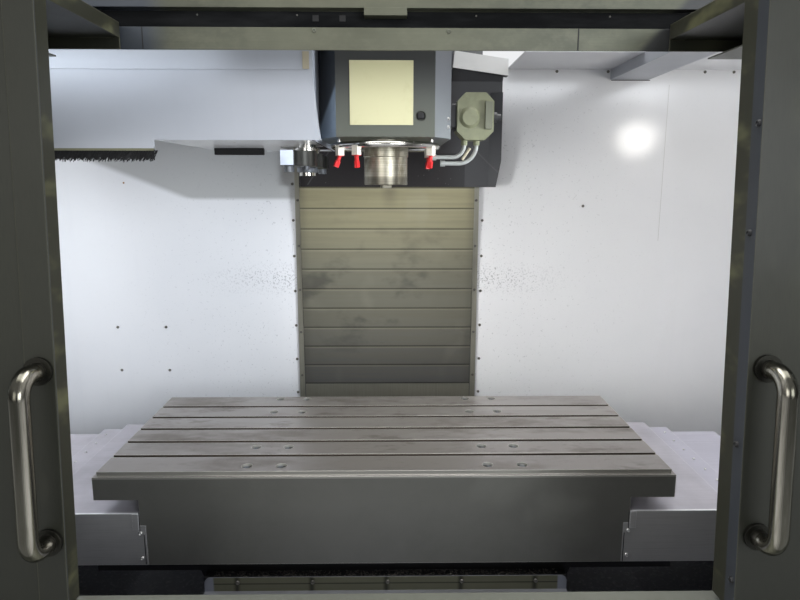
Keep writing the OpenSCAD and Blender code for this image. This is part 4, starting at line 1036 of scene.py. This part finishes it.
# Painted shade: dark strips where the gaps between flange and skirt are
plates("skirt_gap_shade", [
    ((-657, FLANGE - 0.6, 700), (-655, FLANGE, 769)), ((-647, FLANGE - 0.6, 618), (-644.6, FLANGE, 704)),
    ((652, FLANGE - 0.6, 700), (654, FLANGE, 765)), ((641.6, FLANGE - 0.6, 617), (644, FLANGE, 702)),
], "rubber", "table", bevel=0.1)
screws("cover_lip_rivets", [
    (side * 990, y, 755) for side in (-1, 1) for y in (-270, -190, -110, -35, 41, 115, 190, 265)
], UPWARD, 4.0, 1.0, "x_covers_2", "bright")
screws("y_flange_screws", [(x, -310, 562) for x in (-403, -200, 4, 206, 408)], FORWARD, 5.5, 2.0, "saddle")

# Doors: each screw lies on the leaning front face or a set depth behind it
screws("door_right_screws", [
    (627, door_front(z) + depth, z) for z, depth in ((1730, 9), (1548, 18), (1176, 20), (929, 11))
], LEFTWARD, 6.0, 3.0, "door_right", "black_screw", "dark_paint")
for name, x, door in (("door_outer_screws", 1320, "door_right"), ("door_left_screws", -1267, "door_left")):
    points = [(x, door_front(z), z) for z in (1790, 1000)]
    screws(name, points, OFF_DOOR, 7.0, 3.0, door, "black_screw", "dark_paint")

# Header and its rail slot: screws
HEADER, SLOT_BACK = -400.0, -371.5
header_points = [(x, 1942) for x in (-1500, -1000, 1000, 1500)] + [(-154, 1959), (142, 1958)]
screws("header_screws", [(x, HEADER, z) for x, z in header_points], FORWARD, 5.0, 1.2, "frame", "dull_screw")
screws("slot_screws", [
    (x, SLOT_BACK, z) for x, z in ((723, 1979), (742, 1986), (768, 1994))
], FORWARD, 5.5, 4.0, "frame")
screws("slot_specks", [(x, SLOT_BACK, 1997) for x in (-415, -194, 205, 505)], FORWARD, 2.2, 1.0, "frame")

# Blank plate and plug on the head's front
HEAD = -150.0
plates("head_plate", [((-93, HEAD - 1.6, 1779), (73, HEAD, 1941))],
       "plate", "head", bevel=0.7)
plates("head_plug", [((83, HEAD - 1, 1794), (103, HEAD + 7, 1812))],
       "rubber", "head", bevel=4.0, segments=4, smooth=True)

# Header joints, and the dark inner face of the rail slot with dark squares of painted shade for its holes
plates("header_joints", [
    ((left, HEADER - 0.5, 1919), (right, HEADER + 0.5, 1965)) for left, right in ((-530.5, -528), (427, 430))
], "rubber", "frame")
plates("header_slot_back", [((-1600, SLOT_BACK, 1966), (1600, -370, 2005))], "slot", "frame")
# Painted shade: dark squares where the slot's holes are
plates("slot_hole_shade", [
    ((x - 7, -372.4, 1984), (x + 7, -371, 1997)) for x in (-153, -93)
], "rubber", "frame", bevel=0.2)

# Painted shade: dark strips where a gap shows round the end of the roof beam
plates("beam_gap_shade", [
    ((862, 679.4, 2015), (865, 680.2, 2056)), ((862, 679.4, 2015), (1012, 680.2, 2017.6)),
], "rubber", "frame", bevel=0.2)

# Underside of the tool changer cover, open round the arm's shaft, with a pad, a fold and a patch
UNDER = 1737.0
plates("changer_floor", [
    ((-587, -197.5, UNDER), (-328, 438, UNDER + 1.5)), ((-328, -197.5, UNDER), (-192, 130, UNDER + 1.5)),
    ((-328, 352, UNDER), (-192, 438, UNDER + 1.5)),
], "wall", "frame")
plates("changer_pad", [((-548, 216, 1716), (-392, 240, UNDER))], "rubber", "frame", bevel=2.0)
plates("changer_fold", [((-1148, -200.7, 1908.8), (-190, -199.9, 1910.4))], "white", "frame")
plates("changer_patch", [((-207, -201.4, 1910.6), (-190, -199.9, 1953))],
       "beige", "frame", bevel=0.4)

# Bright hem under the left door's strip of roof
tube("roof_hem", [(-598, -662, 1942), (-602, -328, 1942)], 1.1, "bright", "door_left", "dark_paint")

# Slanted fitting below the junction box, and screws on the head's chamfer
tube("hose_fitting", [(225, 50, 1697), (233, 52, 1708), (241, 54, 1720), (248, 55, 1730)], 4.6,
     "beige", "head", "bristle")
screws("chamfer_screws", [(171, -76.5, z) for z in (1802, 1780)], OFF_CHAMFER, 4.5, 3.0, "head", "bright")

# Bristles in three rows under their holder
BRISTLES = bristle_tree()
hair_rows = ((-199.0, 230, 0.028), (-195.5, 200, 0.031), (-193.5, 160, 0.026))
for row, (depth, count, length) in enumerate(hair_rows):
    line = bpy.data.meshes.new("bristle_line")
    line.from_pydata([mm(-1140, depth, 1711), mm(-584, depth, 1711)], [(0, 1)], [])
    applied(f"bristles_{row}", line, BRISTLES, "bristle", "frame", "bristle", False,
            Count=count, Length=length, Lean=0.5, Seed=3 + row)

# Chips on the saddle's front ledge
ledge = bpy.data.meshes.new("saddle_chips")
ledge.from_pydata([
    mm(x, y, 576.5) for x, y in ((-470, -305), (470, -305), (470, -280), (-470, -280))
], [], [(0, 1, 2, 3)])
applied("saddle_chips", ledge, chip_tree(), "chip", "saddle", "bristle", False,
        Density=26000.0, Size=0.0065, Seed=11)

# Pendant screen
plates("pendant_screen", [((1178, -1164.2, 1518), (1532, -1163, 1742))],
       "screen", "pendant_case", bevel=0.5)


# -------- studio
def lamp(name, place, target, energy, size, colour=(1, 1, 1)):
    """A flat lamp that looks at a target, in metres and watts."""
    data = bpy.data.lights.new(name, "AREA")
    data.energy = energy
    data.color = colour
    data.shape = "RECTANGLE"
    data.size, data.size_y = size
    obj = bpy.data.objects.new(name, data)
    bpy.context.scene.collection.objects.link(obj)
    obj.location = place
    obj.rotation_euler = (Vector(target) - Vector(place)).to_track_quat("-Z", "Y").to_euler()
    return obj


lamp("roof_softbox", (0.0, -0.1, 8.0), (0.0, 0.1, 0.9), 760.0, (8.0, 6.0))
lamp("front_left", (-1.9, -4.8, 2.3), (0.7, 0.6, 1.25), 46.0, (2.4, 1.8), (1.0, 0.99, 0.98))
lamp("front_right", (2.1, -4.8, 2.3), (-0.8, 0.6, 1.25), 108.0, (2.4, 1.8), (0.93, 0.96, 1.0))
lamp("back_softbox", (2.5, 5.0, 4.0), (0.0, 0.5, 1.2), 95.0, (3.0, 3.0))
# Soft light inside the enclosure; its narrow spread keeps it off the outside
FILLS = (
    ("left_wall_fill", (1.02, -0.5, 1.5), (-1.5, 0.55, 1.25), 5.8, (0.36, 0.5), (0.87, 0.925, 1.0)),
    ("right_wall_fill", (-1.02, -0.5, 1.4), (0.85, 0.65, 1.15), 3.7, (0.36, 0.5), (1.0, 0.985, 0.965)),
    ("upper_left_fill", (-0.95, -0.34, 1.985), (-0.9, 0.55, 1.3), 0.9, (1.1, 0.08), (0.88, 0.94, 1.0)),
)
for fill_values in FILLS:
    fill = lamp(*fill_values)
    fill.visible_camera = False
    fill.visible_glossy = False
    fill.data.spread = math.radians(64)
spot = lamp("work_lamp", (1.351, -0.36, 1.86), (0.988, 0.655, 1.794), 1.9, (0.2, 0.18), (1.0, 0.97, 0.92))
spot.data.shape = "ELLIPSE"
spot.visible_camera = False

# The camera and glass see a pale backdrop; mirrors see a dark horizon with a soft grey sky above it
world = bpy.data.worlds.new("studio")
bpy.context.scene.world = world
world.use_nodes = True
sky = Graph(world.node_tree)
sky.tree.nodes.clear()
rays = sky.add("ShaderNodeLightPath")
seen = sky.add("ShaderNodeMath", {"operation": "MAXIMUM"}, {
    0: rays.outputs["Is Camera Ray"], 1: rays.outputs["Is Transmission Ray"],
})
way = sky.add("ShaderNodeSeparateXYZ", None, {0: sky.add("ShaderNodeTexCoord").outputs["Generated"]})
mirrored = Value(sky, way.outputs[2]).step(-0.05, 0.6, 0.16, 0.75)
# Sockets 2 and 3 are a Mix node's pair of numbers
dark_side = sky.add("ShaderNodeMix", None, {0: rays.outputs["Is Glossy Ray"], 2: 0.5, 3: mirrored})
strength = sky.add("ShaderNodeMix", None, {0: seen, 2: dark_side, 3: 0.95})
backdrop = sky.add("ShaderNodeBackground", None, {0: (244, 245, 247), 1: strength})
sky.add("ShaderNodeOutputWorld", None, {0: backdrop})

floor_mesh = bpy.data.meshes.new("floor")
floor_mesh.from_pydata([(-20, -20, 0), (20, -20, 0), (20, 20, 0), (-20, 20, 0)], [], [(0, 1, 2, 3)])
floor = bpy.data.objects.new("floor", floor_mesh)
bpy.context.scene.collection.objects.link(floor)
floor_look = Look("floor_paint")
floor_mesh.materials.append(floor_look.finish(
    Base_Color=floor_look.mix(floor_look.noise(0.8), (192, 193, 194), (184, 185, 187)),
    Roughness=0.7,
    Specular_IOR_Level=0.0,
))

# Camera solved from the photograph: place, pitch, yaw, roll, and focal length in its pixels
PITCH, YAW, ROLL = math.radians(10.41), math.radians(0.85), math.radians(-0.07)
FOCAL_PIXELS, PHOTO_WIDTH = 646.5, 800.0
camera_data = bpy.data.cameras.new("camera")
camera_data.lens = FOCAL_PIXELS / PHOTO_WIDTH * camera_data.sensor_width
camera_data.clip_start = 0.01
camera_data.clip_end = 100.0
camera = bpy.data.objects.new("camera", camera_data)
bpy.context.scene.collection.objects.link(camera)
ahead = Vector((math.sin(YAW) * math.cos(PITCH), math.cos(YAW) * math.cos(PITCH), -math.sin(PITCH)))
level = Vector((math.cos(YAW), -math.sin(YAW), 0.0))
down = ahead.cross(level)
right = level * math.cos(ROLL) + down * math.sin(ROLL)
down = down * math.cos(ROLL) - level * math.sin(ROLL)
turn = Matrix((right, -down, -ahead)).transposed().to_4x4()
camera.matrix_world = Matrix.Translation(mm(13, -1903, 1634)) @ turn
bpy.context.scene.camera = camera
bpy.context.scene.view_settings.view_transform = "Standard"

bpy.context.view_layer.update()
